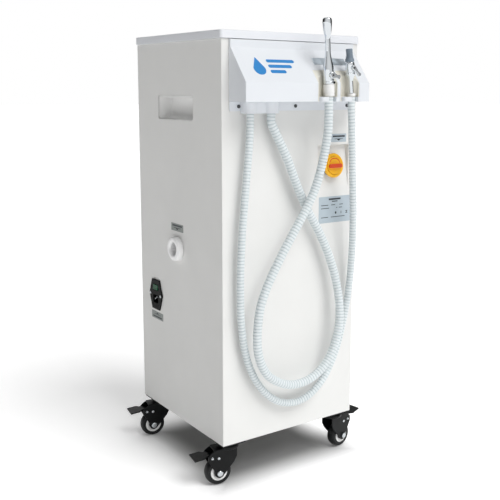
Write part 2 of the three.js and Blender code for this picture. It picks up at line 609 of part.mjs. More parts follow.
// ---------------------------------------------------------------- inside
function inside() {
  const { housing, housingLength, motor, motorLength } = BLOWER;
  const blower = alongX(turned([
    [0, -housingLength], [housing / 2 - 12, -housingLength], [housing / 2, -housingLength + 12],
    [housing / 2, -12], [housing / 2 - 8, 0], [motor / 2, 0], [motor / 2, motorLength - 8],
    [motor / 2 - 8, motorLength], [0, motorLength],
  ], 28));
  piece('suction_blower', blower.translate(BLOWER.x, BLOWER.y, BLOWER.z), GREY_IRON());
  const floor = bottom + BASE.sheet + GAP;
  const cradle = block(
    [BLOWER.x - housingLength + CRADLE.inset, BLOWER.x - CRADLE.inset],
    [BLOWER.y - CRADLE.depth / 2, BLOWER.y + CRADLE.depth / 2], [floor, BLOWER.z - CRADLE.drop],
  );
  const seat = alongX(drill(housing + 2 * GAP, -housingLength - 40, motorLength, 28));
  piece('blower_cradle', cut(cradle, seat.translate(BLOWER.x, BLOWER.y, BLOWER.z)), BLACK_STEEL());

  const reach = { x: halfW - sheet - 2 * GAP, y: halfD - sheet - 2 * GAP };
  const shelfTop = SHELF.z + SHELF.thick;
  const shelfFront = PORT.y + PIPE.outer / 2 + PIPE.clear;
  piece('tank_shelf', block([-reach.x, reach.x], [shelfFront, reach.y], [SHELF.z, shelfTop]), STEEL());
  const r = TANK.diameter / 2;
  const base = shelfTop + GAP;
  piece('waste_tank', turned([
    [0, base], [r, base], [r, base + TANK.height], [r - TANK.wall, base + TANK.height],
    [r - TANK.wall, base + TANK.wall], [0, base + TANK.wall],
  ], 28).translate(TANK.x, TANK.y, 0), paint('#dfe6e8', 0.3));
  const lidBase = base + TANK.height + GAP;
  const lidTop = lidBase + 20;
  piece('tank_lid', turned([
    [0, lidBase], [r + 2, lidBase], [r + 2, lidTop - 6], [r - 8, lidTop], [0, lidTop],
  ], 28).translate(TANK.x, TANK.y, 0), BLACK_PLASTIC());
  piece('control_box', block(
    [BOX.x - BOX.width / 2, BOX.x + BOX.width / 2], [BOX.y - BOX.depth / 2, BOX.y + BOX.depth / 2],
    [base, base + BOX.height],
  ), BLACK_PLASTIC());

  pipe('feed_pipe', [
    [PIPE.feedX, front + sheet + GAP, feedZ], [PIPE.feedX, front + 60, feedZ],
    [TANK.x, TANK.y - 50, feedZ], [TANK.x, TANK.y - 12, feedZ - 4],
    [TANK.x, TANK.y, feedZ - 16], [TANK.x, TANK.y, lidTop + GAP],
  ]);
  const start = BLOWER.x - housingLength - GAP;
  pipe('exhaust_pipe', [
    [start, BLOWER.y, BLOWER.z + 20], [start - 6, BLOWER.y, BLOWER.z + 20],
    [PIPE.riserX + 8, BLOWER.y, BLOWER.z + 28], [PIPE.riserX, BLOWER.y - 3, BLOWER.z + 50],
    [PIPE.riserX, PORT.y, BLOWER.z + 110], [PIPE.riserX, PORT.y, PORT.z - 50],
    [PIPE.riserX - 2, PORT.y, PORT.z - 16], [PIPE.riserX - 11, PORT.y, PORT.z - 2],
    [-halfW + PORT.inner + 3, PORT.y, PORT.z], [-halfW + PORT.inner + GAP, PORT.y, PORT.z],
  ]);
}

function pipe(name, route) {
  const curve = new THREE.CatmullRomCurve3(route.map((p) => new THREE.Vector3(...p)), false, 'centripetal');
  const section = new THREE.Shape();
  section.absarc(0, 0, PIPE.outer / 2, 0, 2 * Math.PI, false);
  const bore = new THREE.Path();
  bore.absarc(0, 0, PIPE.inner / 2, 0, 2 * Math.PI, false);
  section.holes.push(bore);
  piece(name, outward(new THREE.ExtrudeGeometry(section, { steps: 14, extrudePath: curve, curveSegments: 4 })),
    GREY_RUBBER());
}

// ---------------------------------------------------------------- casters
// Built about the swivel axis, heights from the floor, with the wheel trailing towards -X.
function caster(corner, x, y, heading, pedalAngle) {
  const fixed = new THREE.Group();
  fixed.position.set(x, y, 0);
  unit.add(fixed);
  const swivelling = new THREE.Group();
  swivelling.rotation.z = THREE.MathUtils.degToRad(heading);
  fixed.add(swivelling);
  const name = (part) => `caster_${corner}_${part}`;

  const plateTop = CASTER.height - GAP;
  const plateBottom = plateTop - CASTER.plateThick;
  const bossBottom = plateBottom - CASTER.bossThick;
  const headTop = bossBottom - GAP;
  const headBottom = headTop - FORK.headThick;
  const outline = centred(CASTER.plate, CASTER.plate, 4);
  for (const [sx, sy] of [[-1, -1], [1, -1], [1, 1], [-1, 1]]) {
    outline.holes.push(roundHole(sx * CASTER.bolt, sy * CASTER.bolt, CASTER.boltHole));
  }
  const neck = CASTER.kingpin / 2;
  const pinBottom = headBottom - GAP;
  const post = turned([
    [0, pinBottom - CASTER.kingpinHeadThick], [CASTER.kingpinHead / 2, pinBottom - CASTER.kingpinHeadThick],
    [CASTER.kingpinHead / 2, pinBottom], [neck, pinBottom], [neck, bossBottom], [CASTER.boss / 2, bossBottom],
    [CASTER.boss / 2, plateBottom + 1], [0, plateBottom + 1],
  ], 10);
  piece(name('plate'), join(prism('z', outline, plateBottom, plateTop), post), BLACK_STEEL(), fixed);

  piece(name('fork'), forkSolid(headTop, headBottom), BLACK_STEEL(), swivelling);
  const outside = forkInside + FORK.cheek + GAP;
  const bolt = alongY(turned([
    [0, -outside - 3], [6, -outside - 3], [6, -outside], [WHEEL.bore / 2, -outside],
    [WHEEL.bore / 2, outside], [6, outside], [6, outside + 3], [0, outside + 3],
  ], 10));
  piece(name('axle'), bolt.translate(-CASTER.trail, 0, WHEEL.radius), STEEL(), swivelling);

  const { radius, width, tread, shoulder, hub } = WHEEL;
  const w = width / 2;
  piece(name('tyre'), alongY(ring([
    [tread + GAP, -w + 0.6], [shoulder, -w], [radius - 0.8, -w + 5.5], [radius, 0],
    [radius - 0.8, w - 5.5], [shoulder, w], [tread + GAP, w - 0.6],
  ], 22)).translate(-CASTER.trail, 0, radius), BLACK_RUBBER(), swivelling);
  piece(name('rim'), alongY(ring([
    [WHEEL.bore / 2 + RUN, -w - 1.2], [hub, -w - 1.2], [hub, -w + 2], [tread - 1, -w],
    [tread, w - 1], [hub, w - 2], [hub, w + 1.2], [WHEEL.bore / 2 + RUN, w + 1.2],
  ], 18)).translate(-CASTER.trail, 0, radius), WHITE_PLASTIC(), swivelling);
  piece(name('pedal'), pedalSolid(pedalAngle), BLACK_STEEL(), swivelling);
}

function forkSolid(headTop, headBottom) {
  const { cheek, bridge, head } = FORK;
  const gapHalf = forkInside;
  const r = WHEEL.radius;
  const axleX = -CASTER.trail;
  const side = new THREE.Shape();
  side.moveTo(15, headBottom + bridge);
  side.lineTo(-33, headBottom + bridge);
  side.lineTo(-45, headBottom - 6);
  side.lineTo(-45, PEDAL.pivotZ - 8);
  side.lineTo(axleX - 9, r + 4);
  for (let angle = 155; angle <= 340; angle += 37) {
    const turn = THREE.MathUtils.degToRad(angle);
    side.lineTo(axleX + 9.5 * Math.cos(turn), r + 9.5 * Math.sin(turn));
  }
  side.lineTo(0, r + 8);
  side.lineTo(13, r + 26);
  const cheeks = [-gapHalf - cheek, gapHalf].map((y) => prism('y', side, y, y + cheek));
  const deck = block([-33, 15], [-gapHalf - cheek, gapHalf + cheek], [headBottom, headBottom + bridge]);
  const disc = rod(head, headBottom, headTop, 14);
  const stop = alongY(rod(STOP_PIN.diameter, -gapHalf - cheek - 0.8, gapHalf + cheek + 0.8, 8))
    .translate(STOP_PIN.x, 0, STOP_PIN.z);
  const kingHole = drill(CASTER.kingpin + 2 * RUN, headBottom - 1, headTop + 1, 8);
  const pivotHole = alongY(drill(PEDAL.pin + 2 * RUN, -30, 30, 8)).translate(PEDAL.pivotX, 0, PEDAL.pivotZ);
  const axleHole = alongY(drill(WHEEL.bore + 2 * GAP, -30, 30, 8)).translate(axleX, 0, r);
  return cut(join(deck, ...cheeks, disc, stop), kingHole, pivotHole, axleHole);
}

// A tread plate on a tongue, on its own pivot pin; the plate rises outwards by the given angle.
function pedalSolid(angle) {
  const { pin, length, width, thick, tongue, rise } = PEDAL;
  const reach = forkInside + FORK.cheek + 1;
  const shaft = alongY(rod(pin, -reach, reach, 8));
  const web = prism('y', polygon([
    [3, -2.4], [3, 2.4], [-6, rise], [-length, rise], [-length, rise - thick], [-9, rise - thick], [-3, -2.4],
  ]), -tongue / 2, tongue / 2);
  const start = -(45 + PEDAL.pivotX) - 3;
  const tread = prism('z', polygon([
    [start, -tongue / 2], [start, tongue / 2], [start - 5, width / 2], [-length, width / 2],
    [-length, -width / 2], [start - 5, -width / 2],
  ].reverse()), rise - thick, rise);
  const pedal = join(shaft, web, tread);
  pedal.rotateY(THREE.MathUtils.degToRad(angle));
  return pedal.translate(PEDAL.pivotX, 0, PEDAL.pivotZ);
}

function casters() {
  const x = halfW - CASTER.inset;
  const y = halfD - CASTER.inset;
  caster('fl', -x, -y, -CASTER.heading, -6);
  caster('rl', -x, y, -CASTER.heading, -6);
  caster('fr', x, -y, 180 + CASTER.heading, 14);
  caster('rr', x, y, 180 + CASTER.heading, 14);
}

// ---------------------------------------------------------------- the whole unit
cabinet();
consoleShell();
holder('hve_holder', HVE.cupX, HVE.x, HOSE.hve);
holder('se_holder', SE.cupX, SE.x, HOSE.se);
hoseManifold();
hveHandpiece();
seHandpiece();
hose('hve_hose', HVE_ROUTE, HOSE.hve, 52);
hose('se_hose', SE_ROUTE, HOSE.se, 48);
mainSwitch();
exhaustPort();
powerInlet();
inside();
casters();

unit.updateMatrixWorld(true);
const outlineBox = new THREE.Box3();
unit.traverse((node) => {
  if (node.isMesh && !node.name.endsWith('_hose')) outlineBox.expandByObject(node, true);
});
const middle = outlineBox.getCenter(new THREE.Vector3());
unit.position.set(-middle.x, -middle.y, 0);

export default unit;
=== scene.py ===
"""Mobile dental suction unit: white steel cabinet on four braked casters, with a front console that
feeds and holds two suction handpieces. Modelled in millimetres about the middle of the cabinet's floor
plan, then moved into the row frame in metres."""
from math import atan2, cos, degrees, hypot, pi, radians, sin, tan

import bmesh
import bpy
from mathutils import Matrix, Vector


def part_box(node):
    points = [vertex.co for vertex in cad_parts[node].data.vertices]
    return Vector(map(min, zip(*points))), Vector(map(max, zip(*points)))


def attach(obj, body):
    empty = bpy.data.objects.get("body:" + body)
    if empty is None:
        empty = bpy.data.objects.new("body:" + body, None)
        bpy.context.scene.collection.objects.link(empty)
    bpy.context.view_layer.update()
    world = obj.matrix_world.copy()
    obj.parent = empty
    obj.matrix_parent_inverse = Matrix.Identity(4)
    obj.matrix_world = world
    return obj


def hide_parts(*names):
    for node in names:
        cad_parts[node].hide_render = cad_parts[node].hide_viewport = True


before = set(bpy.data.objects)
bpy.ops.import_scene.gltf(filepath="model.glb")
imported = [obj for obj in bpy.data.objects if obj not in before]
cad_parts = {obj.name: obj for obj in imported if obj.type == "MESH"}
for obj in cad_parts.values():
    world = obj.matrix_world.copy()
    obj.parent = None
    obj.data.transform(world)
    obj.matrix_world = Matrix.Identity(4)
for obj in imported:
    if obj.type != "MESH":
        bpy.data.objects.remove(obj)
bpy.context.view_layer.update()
scene = bpy.context.scene

# ---------------- sizes shared with the part, in mm
HALF_W, HALF_D = 155, 164
BODY_TOP = 836
FRONT = -HALF_D
GAP = 0.3
SHEET = 1.5
CUP_FLOOR = 736
HANDPIECE_Y = -218
CONSOLE_FRONT = FRONT - 55
CONSOLE_TOP, SHOULDER, KINK, CONSOLE_BOTTOM = 835, 821, 761, 727
CONSOLE_HALF, MANIFOLD_FOOT = 140, 706
HANDLE_Y, HANDLE_Z = 7, 713
PORT_Y, PORT_Z = 3, 438
INLET_Y, INLET_Z, INLET_FLANGE = 97, 325, 2.5
HVE_X, HVE_LEAN, HVE_CUFF, HVE_HOSE = 42.5, 3, 20.4, 16.5
SE_X, SE_LEAN, SE_CUFF, SE_HOSE = 96.5, 5.4, 15, 14
VENT_Z, VENT_PITCH, VENTS = 330, 13, 11
CASTERS = {"fl": (-128, -137, -10), "rl": (-128, 137, -10), "fr": (128, -137, 190), "rr": (128, 137, 190)}
AXLE_X, AXLE_Z = -22, 25.8
PEDAL_PIN, STOP_PIN = (-37, 58), (-24, 56.4)


def at(x, y, z):
    return Matrix.Translation((x, y, z))


def rotation(angle, axis):
    return Matrix.Rotation(radians(angle), 4, axis)


low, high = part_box("front_panel")
PLAN_X = (low[0] + high[0]) / 2
PLAN_Y = low[1] + HALF_D / 1000
TO_ROW = at(PLAN_X, PLAN_Y, 0) @ Matrix.Scale(0.001, 4)


def in_row(x, y, z):
    return TO_ROW @ Vector((x, y, z))


# ---------------- camera
CAMERA_PLACE = (-905.2, -1386.3, 752.5)
YAW, PITCH, ROLL = radians(35.68), radians(9.3), radians(0.37)
LENS, SHIFT = 58.35, -0.06


def make_camera():
    ahead = Vector((sin(YAW) * cos(PITCH), cos(YAW) * cos(PITCH), -sin(PITCH)))
    level = Vector((cos(YAW), -sin(YAW), 0))
    over = level.cross(ahead)
    right = level * cos(ROLL) + over * sin(ROLL)
    up = over * cos(ROLL) - level * sin(ROLL)
    data = bpy.data.cameras.new("camera")
    data.sensor_width, data.lens = 36, LENS
    data.shift_x, data.shift_y = SHIFT, SHIFT
    data.clip_start, data.clip_end = 0.05, 50
    camera = bpy.data.objects.new("camera", data)
    turn = Matrix((right, up, -ahead)).transposed().to_4x4()
    camera.matrix_world = Matrix.Translation(in_row(*CAMERA_PLACE)) @ turn
    scene.collection.objects.link(camera)
    scene.camera = camera


make_camera()


# ---------------- materials
def linear(hex_colour):
    """An sRGB hex colour as linear red, green, blue and alpha."""
    parts = [int(hex_colour[i:i + 2], 16) / 255 for i in (1, 3, 5)]
    return (*[p / 12.92 if p <= 0.04045 else ((p + 0.055) / 1.055) ** 2.4 for p in parts], 1)


def add_node(tree, kind, inputs=None, **settings):
    node = tree.nodes.new(kind)
    for key, value in settings.items():
        setattr(node, key, value)
    for socket, value in (inputs or {}).items():
        if isinstance(value, bpy.types.NodeSocket):
            tree.links.new(value, node.inputs[socket])
        else:
            node.inputs[socket].default_value = value
    return node


def finish(name, colour, shade, rough, grain, relief, metallic=0.0, coat=0.0, patch=60, band=0.04, attribute=None,
           gloss=0.5, depth=0.0):
    """A surface that drifts from colour to shade over patches (mm) and carries a grain (mm) of a relief (mm).

    rough is its roughness, which drifts by band. attribute names a 0 to 1 value that brings in the shade instead of
    the drift; the hose uses it as painted shade in its grooves.
    gloss is the strength of its reflection, and depth the share of light that scatters inside it.
    """
    material = bpy.data.materials.new(name)
    material.use_nodes = True
    tree = material.node_tree
    shader = tree.nodes["Principled BSDF"]
    place = add_node(tree, "ShaderNodeTexCoord").outputs["Object"]
    drift = add_node(tree, "ShaderNodeTexNoise", {"Vector": place, "Scale": 1000 / patch, "Detail": 2.0})
    if attribute:
        amount = add_node(tree, "ShaderNodeAttribute", attribute_name=attribute).outputs["Fac"]
    else:
        amount = drift.outputs["Fac"]
    mix = add_node(tree, "ShaderNodeMix", {0: amount, 6: linear(colour), 7: linear(shade)}, data_type="RGBA")
    tree.links.new(mix.outputs[2], shader.inputs["Base Color"])
    sheen = add_node(tree, "ShaderNodeMapRange", {
        "Value": drift.outputs["Fac"], "From Min": 0.3, "From Max": 0.7,
        "To Min": rough - band, "To Max": rough + band,
    })
    tree.links.new(sheen.outputs["Result"], shader.inputs["Roughness"])
    if relief:
        peel = add_node(tree, "ShaderNodeTexNoise", {"Vector": place, "Scale": 1000 / grain, "Detail": 3.0})
        bump = add_node(tree, "ShaderNodeBump", {
            "Height": peel.outputs["Fac"], "Strength": 1.0, "Distance": relief / 1000,
        })
        tree.links.new(bump.outputs["Normal"], shader.inputs["Normal"])
    shader.inputs["Metallic"].default_value = metallic
    shader.inputs["Coat Weight"].default_value = coat
    shader.inputs["Coat Roughness"].default_value = 0.15
    shader.inputs["Specular IOR Level"].default_value = gloss
    shader.inputs["Subsurface Weight"].default_value = depth
    shader.inputs["Subsurface Radius"].default_value = (1, 1, 1)
    shader.inputs["Subsurface Scale"].default_value = 0.004
    return material


def brushed(name, colour, shade, rough, stretch):
    """A metal with lines along X: stretch is how much longer than wide they are."""
    material = bpy.data.materials.new(name)
    material.use_nodes = True
    tree = material.node_tree
    shader = tree.nodes["Principled BSDF"]
    place = add_node(tree, "ShaderNodeTexCoord").outputs["Object"]
    lines = add_node(tree, "ShaderNodeMapping", {"Vector": place, "Scale": (1 / stretch, 1, 1)})
    noise = add_node(tree, "ShaderNodeTexNoise", {
        "Vector": lines.outputs["Vector"], "Scale": 1600.0, "Detail": 4.0,
    })
    mix = add_node(tree, "ShaderNodeMix", {
        0: noise.outputs["Fac"], 6: linear(colour), 7: linear(shade),
    }, data_type="RGBA")
    tree.links.new(mix.outputs[2], shader.inputs["Base Color"])
    bump = add_node(tree, "ShaderNodeBump", {
        "Height": noise.outputs["Fac"], "Strength": 0.5, "Distance": 0.00003,
    })
    tree.links.new(bump.outputs["Normal"], shader.inputs["Normal"])
    shader.inputs["Metallic"].default_value = 1
    shader.inputs["Roughness"].default_value = rough
    return material


# Polyester powder coat on sheet steel: a faint orange peel, satin, a little warm.
POWDER_COAT = finish("white_powder_coat_steel", "#e7e7e5", "#e2e2e0", 0.5, 1.6, 0.02, gloss=0.35)
# Injection-moulded ABS of the cover: cooler and smoother than the coated steel.
COVER_ABS = finish("white_moulded_abs_cover", "#e9ebef", "#e3e6eb", 0.34, 0.8, 0.008, coat=0.15)
CONSOLE_ABS = finish("white_moulded_abs_console", "#e4e7eb", "#dee2e7", 0.36, 0.8, 0.008, coat=0.15)
# ABS inside the cups' scoops: a warmer white than the console, and darker too, as painted shade in the hollows.
WARM_ABS_WITH_PAINTED_SHADE = finish("ivory_abs_cups_with_painted_shade", "#e4e1d6", "#dbd8cc", 0.4, 0.9, 0.01, coat=0.1)
FITTING_ABS = finish("white_moulded_abs_fittings", "#f2f2f1", "#ebebea", 0.38, 0.7, 0.008, coat=0.15)
# Natural nylon of the exhaust ring: whiter than the paint, and light carries a little way into it.
RING_NYLON = finish("white_nylon_ring", "#ffffff", "#fafafa", 0.35, 0.8, 0.008, coat=0.2, depth=0.6)
# Flexible EVA of the hoses: pale blue grey, with painted shade that darkens it down in its grooves.
HOSE_EVA = finish("pale_grey_eva_hose", "#dfe5e7", "#bcc7ca", 0.5, 0.6, 0.015, attribute="groove")
# Chrome-plated brass: a clear mirror, with the faint waves of polishing.
CHROME = finish("polished_chrome_on_brass", "#dfe3e6", "#d3d8dc", 0.05, 6, 0.004, metallic=1.0, band=0.015)
STAINLESS = finish("polished_stainless_bracket", "#cdd6dd", "#b3bec7", 0.38, 3, 0.02, metallic=1.0,
                   patch=12, band=0.08)
ZINC = finish("bright_zinc_plated_steel", "#cfd3d6", "#bcc1c4", 0.25, 0.8, 0.01, metallic=1.0, patch=4,
              band=0.06)
SHELF_STEEL = brushed("brushed_stainless_shelf", "#bfc3c6", "#a9adb0", 0.32, 40)
# Black enamel baked on pressed steel: glossy, with a soft peel.
BLACK_ENAMEL = finish("black_baked_enamel_steel", "#050607", "#0a0c0d", 0.34, 1.2, 0.012, patch=12,
                      band=0.06, gloss=0.2)
TYRE_RUBBER = finish("black_polyurethane_tyre", "#0d0e0f", "#141617", 0.5, 0.7, 0.02, patch=9, band=0.08,
                     gloss=0.3)
HUB_BLACK = finish("black_moulded_nylon_hub", "#0e0f10", "#151718", 0.4, 0.6, 0.012, patch=8, gloss=0.3)
INLET_PA = finish("black_glass_filled_nylon_inlet", "#050706", "#090c0b", 0.55, 0.5, 0.01, patch=10,
                  gloss=0.12)
GREY_PA = finish("dark_grey_nylon_collar", "#545a61", "#474c53", 0.45, 0.6, 0.012, patch=10)
TIP_RUBBER = finish("blue_grey_silicone_tip", "#7f8c98", "#6f7c88", 0.55, 0.5, 0.02, patch=5)
PIPE_RUBBER = finish("grey_epdm_pipe", "#6d757b", "#5d656b", 0.65, 1.0, 0.04, patch=14)
YELLOW_PC = finish("yellow_moulded_polycarbonate", "#fbc013", "#f4b20d", 0.35, 0.7, 0.006, coat=0.2, patch=14)
RED_PC = finish("orange_red_moulded_polycarbonate", "#e2501e", "#d54316", 0.38, 0.7, 0.006, coat=0.2,
                patch=10)
SCREW_STEEL = finish("dark_oxide_screws", "#4a4c4e", "#5d5f61", 0.4, 0.4, 0.01, metallic=0.8, patch=2)
SILVER_VINYL = finish("silver_grey_vinyl_sticker", "#b9c5cd", "#aebbc4", 0.38, 0.5, 0.004, patch=12)
GREY_VINYL = finish("grey_vinyl_sticker", "#8e9491", "#858b88", 0.45, 0.5, 0.004, patch=12)
PRINT_INK = finish("dark_screen_print", "#2b3136", "#363d43", 0.5, 0.4, 0.002, patch=6)
BLUE_INK = finish("blue_screen_print", "#1a82c9", "#227dbf", 0.35, 0.4, 0.002, patch=8)
CASTING = finish("grey_painted_iron_casting", "#8c9296", "#7d8387", 0.55, 2.2, 0.12, metallic=0.3, patch=25)
TANK_PE = finish("translucent_blow_moulded_tank", "#dfe6e8", "#cfd9dc", 0.42, 4, 0.05, patch=30)
BOX_ABS = finish("black_moulded_abs_box", "#1a1b1c", "#242526", 0.5, 0.8, 0.03, patch=15)


def lit_green():
    """The rocker's green lens: acrylic that glows a little from the lamp behind it."""
    material = finish("green_acrylic_rocker_lens", "#0b4a2e", "#083d26", 0.3, 0.8, 0.004, patch=6, gloss=0.2)
    shader = material.node_tree.nodes["Principled BSDF"]
    shader.inputs["Emission Color"].default_value = linear("#1f8a52")
    shader.inputs["Emission Strength"].default_value = 0.05
    return material


GREEN_LENS = lit_green()


# ---------------- solids, in mm
def arc(angles, radius, x=0, y=0, tall=None):
    """Points at angles (degrees) on a circle about x, y, or on an ellipse with a half height of tall."""
    return [(x + radius * cos(radians(a)), y + (tall or radius) * sin(radians(a)))
            for a in angles]


def ease(solid, radius, edges=None, steps=3, angle=30):
    """Rounds the sharp edges of a solid, or those given."""
    chosen = [e for e in edges or solid.edges
              if e.is_valid and e.is_manifold and e.calc_face_angle(0) > radians(angle)]
    bmesh.ops.bevel(solid, geom=chosen, offset=radius, segments=steps, profile=0.5, affect="EDGES",
                    clamp_overlap=True)


def prism(outline, start, end, radius=0, matrix=None, steps=3):
    """A prism on an XY outline from start to end along Z, with its edges rounded."""
    solid = bmesh.new()
    verts = [solid.verts.new((x, y, start)) for x, y in outline]
    face = solid.faces.new(verts)
    raised = bmesh.ops.extrude_face_region(solid, geom=[face])["geom"]
    bmesh.ops.translate(solid, verts=[g for g in raised if isinstance(g, bmesh.types.BMVert)],
                        vec=(0, 0, end - start))
    bmesh.ops.recalc_face_normals(solid, faces=solid.faces)
    if radius:
        ease(solid, radius, steps=steps)
    if matrix is not None:
        solid.transform(matrix)
    return solid


def rounded(width, height, radius, x=0, y=0, steps=6):
    """A rounded rectangle's outline, anticlockwise."""
    points = []
    for quarter, (sx, sy) in enumerate([(1, -1), (1, 1), (-1, 1), (-1, -1)]):
        angles = [90 * (quarter - 1 + i / steps) for i in range(steps + 1)]
        points += arc(angles, radius, x + sx * (width / 2 - radius), y + sy * (height / 2 - radius))
    return points


def brick(x, y, z, radius=0, steps=3):
    """A block between pairs of limits, with rounded edges."""
    outline = [(x[0], y[0]), (x[1], y[0]), (x[1], y[1]), (x[0], y[1])]
    return prism(outline, z[0], z[1], radius, steps=steps)


def lofted(rings):
    """A closed solid through rings of points, all with the same number of points."""
    solid = bmesh.new()
    loops = [[solid.verts.new(p) for p in ring] for ring in rings]
    count = len(loops[0])
    for lower, upper in zip(loops, loops[1:]):
        for i in range(count):
            j = (i + 1) % count
            solid.faces.new((lower[i], lower[j], upper[j], upper[i]))
    solid.faces.new(loops[0][::-1])
    solid.faces.new(loops[-1])
    bmesh.ops.recalc_face_normals(solid, faces=solid.faces)
    return solid


def turned(profile, matrix=None, segments=64, closed=False):
    """A solid turned about Z from (radius, height) points; closed joins the last point to the first."""
    solid = bmesh.new()
    verts = [solid.verts.new((r, 0, z)) for r, z in profile]
    edges = [solid.edges.new(pair) for pair in zip(verts, verts[1:])]
    if closed:
        edges.append(solid.edges.new((verts[-1], verts[0])))
    bmesh.ops.spin(solid, geom=verts + edges, cent=(0, 0, 0), axis=(0, 0, 1), angle=2 * pi,
                   steps=segments, use_duplicate=False)
    bmesh.ops.remove_doubles(solid, verts=solid.verts, dist=1e-4)
    bmesh.ops.recalc_face_normals(solid, faces=solid.faces)
    if matrix is not None:
        solid.transform(matrix)
    return solid


def soft_profile(points, radius, steps=3):
    """Rounds the inner corners of a (radius, height) profile."""
    result = [points[0]]
    for before, here, after in zip(points, points[1:], points[2:]):
        a, b, c = Vector(before), Vector(here), Vector(after)
        reach = min(radius, (a - b).length * 0.45, (c - b).length * 0.45)
        start, end = b + (a - b).normalized() * reach, b + (c - b).normalized() * reach
        for i in range(steps + 1):
            t = i / steps
            result.append(tuple(start * (1 - t) ** 2 + b * 2 * t * (1 - t) + end * t ** 2))
    result.append(points[-1])
    return result


def together(*solids):
    """One mesh from several loose solids."""
    whole = solids[0]
    for other in solids[1:]:
        part = bpy.data.meshes.new("part")
        other.to_mesh(part)
        other.free()
        whole.from_mesh(part)
        bpy.data.meshes.remove(part)
    return whole


def two_tone(first, second):
    """One mesh from two solids that takes the first and the second of its two materials."""
    for face in second.faces:
        face.material_index = 1
    return together(first, second)


def shown(name, mesh, material, replaces=(), body="cabinet", smooth=35, weighted=True):
    """Puts a mesh already in the row frame into the scene as a piece that rides on a body."""
    piece = bpy.data.objects.new(name, mesh)
    scene.collection.objects.link(piece)
    for entry in material if isinstance(material, (list, tuple)) else [material]:
        if entry.name not in mesh.materials:
            mesh.materials.append(entry)
    mesh.shade_smooth()
    mesh.set_sharp_from_angle(angle=radians(smooth))
    if weighted:
        level = piece.modifiers.new("flat faces stay flat", "WEIGHTED_NORMAL")
        level.keep_sharp = True
    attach(piece, body)
    if replaces:
        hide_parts(*replaces)
    return piece


def build(name, solid, material, replaces=(), body="cabinet"):
    """A solid in mm becomes a piece."""
    solid.transform(TO_ROW)
    mesh = bpy.data.meshes.new(name)
    solid.to_mesh(mesh)
    solid.free()
    return shown(name, mesh, material, replaces, body)


def applied(piece):
    """Turns a piece's modifiers into plain mesh."""
    bpy.context.view_layer.update()
    mesh = bpy.data.meshes.new_from_object(piece.evaluated_get(bpy.context.evaluated_depsgraph_get()))
    piece.modifiers.clear()
    return mesh


def carved(solid, *cutters):
    """A solid in mm with others cut out of it."""
    temporary = []
    for part in (solid, *cutters):
        mesh = bpy.data.meshes.new("blank")
        part.to_mesh(mesh)
        part.free()
        temporary.append(bpy.data.objects.new("blank", mesh))
        scene.collection.objects.link(temporary[-1])
    for cutter in temporary[1:]:
        change = temporary[0].modifiers.new("cut", "BOOLEAN")
        change.operation, change.solver, change.object = "DIFFERENCE", "EXACT", cutter
    mesh = applied(temporary[0])
    result = bmesh.new()
    result.from_mesh(mesh)
    for blank in temporary:
        bpy.data.objects.remove(blank)
    return result


def eased_copy(node, name, radius, material, body="cabinet", steps=2, angle=35):
    """A CAD node's shape, merged into whole faces, with its edges rounded."""
    solid = bmesh.new()
    solid.from_mesh(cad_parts[node].data)
    bmesh.ops.remove_doubles(solid, verts=solid.verts, dist=1e-6)
    bmesh.ops.dissolve_limit(solid, angle_limit=radians(0.5), verts=solid.verts, edges=solid.edges)
    ease(solid, radius / 1000, steps=steps, angle=angle)
    mesh = bpy.data.meshes.new(name)
    solid.to_mesh(mesh)
    solid.free()
    return shown(name, mesh, material, (node,), body)


def facing(x, y, z, turn_z=0.0, tilt_x=90.0):
    """A local frame whose X runs along a panel, Y up it and Z out of it."""
    return (at(x, y, z) @ rotation(turn_z, "Z")
            @ rotation(tilt_x, "X"))


# ---------------- hoses
HVE_ROUTE = [
    (-59, -178.6, 705.6), (-59, -178.6, 690), (-50, -179.5, 671), (-24, -181, 622), (2, -181, 565),
    (28, -181, 517), (53, -181, 478), (77, -183, 428), (92, -187, 379), (98, -192, 331), (96, -195, 292),
    (85, -196, 253), (66, -196, 220), (36, -196, 197), (7, -196, 189), (-26, -196, 191),
    (-54, -196, 203), (-77, -196, 221), (-93, -197, 248), (-101, -198, 280), (-101, -199, 319),
    (-96, -200, 355), (-83, -201, 390), (-64, -202, 425), (-42, -202, 460), (-18, -202, 495),
    (5, -202, 529), (24, -204, 566), (34, -208, 603), (39.5, -213, 640), (42.5, -217, 676),
    (42.5, -218, 706), (42.5, -218, 736),
]
SE_ROUTE = [
    (-104.5, -178.6, 705.6), (-104.5, -178.6, 690), (-106, -179, 661), (-115, -180, 572),
    (-123, -180, 484), (-126, -179, 392), (-123, -178, 317), (-112, -177, 258), (-95, -177, 215),
    (-73, -177, 183), (-45, -177, 158), (-16, -177, 146), (15, -177, 144), (44, -177, 154),
    (73, -177, 178), (93, -176, 207), (108, -176, 240), (123, -177, 296), (131, -181, 356),
    (130, -190, 439), (122, -200, 519), (110, -209, 599), (102.5, -215, 655), (98, -218, 696),
    (96.5, -218, 716), (96.5, -218, 736),
]
RIB_PITCH = 6.0
# Place along one rib (0 to 1) and how deep the groove is there (0 to 1).
RIB_SHAPE = [(0.0, 1.0), (0.1, 0.85), (0.2, 0.25), (0.38, 0.0), (0.72, 0.0), (0.9, 0.7)]
GROOVE_DEPTH = 0.75


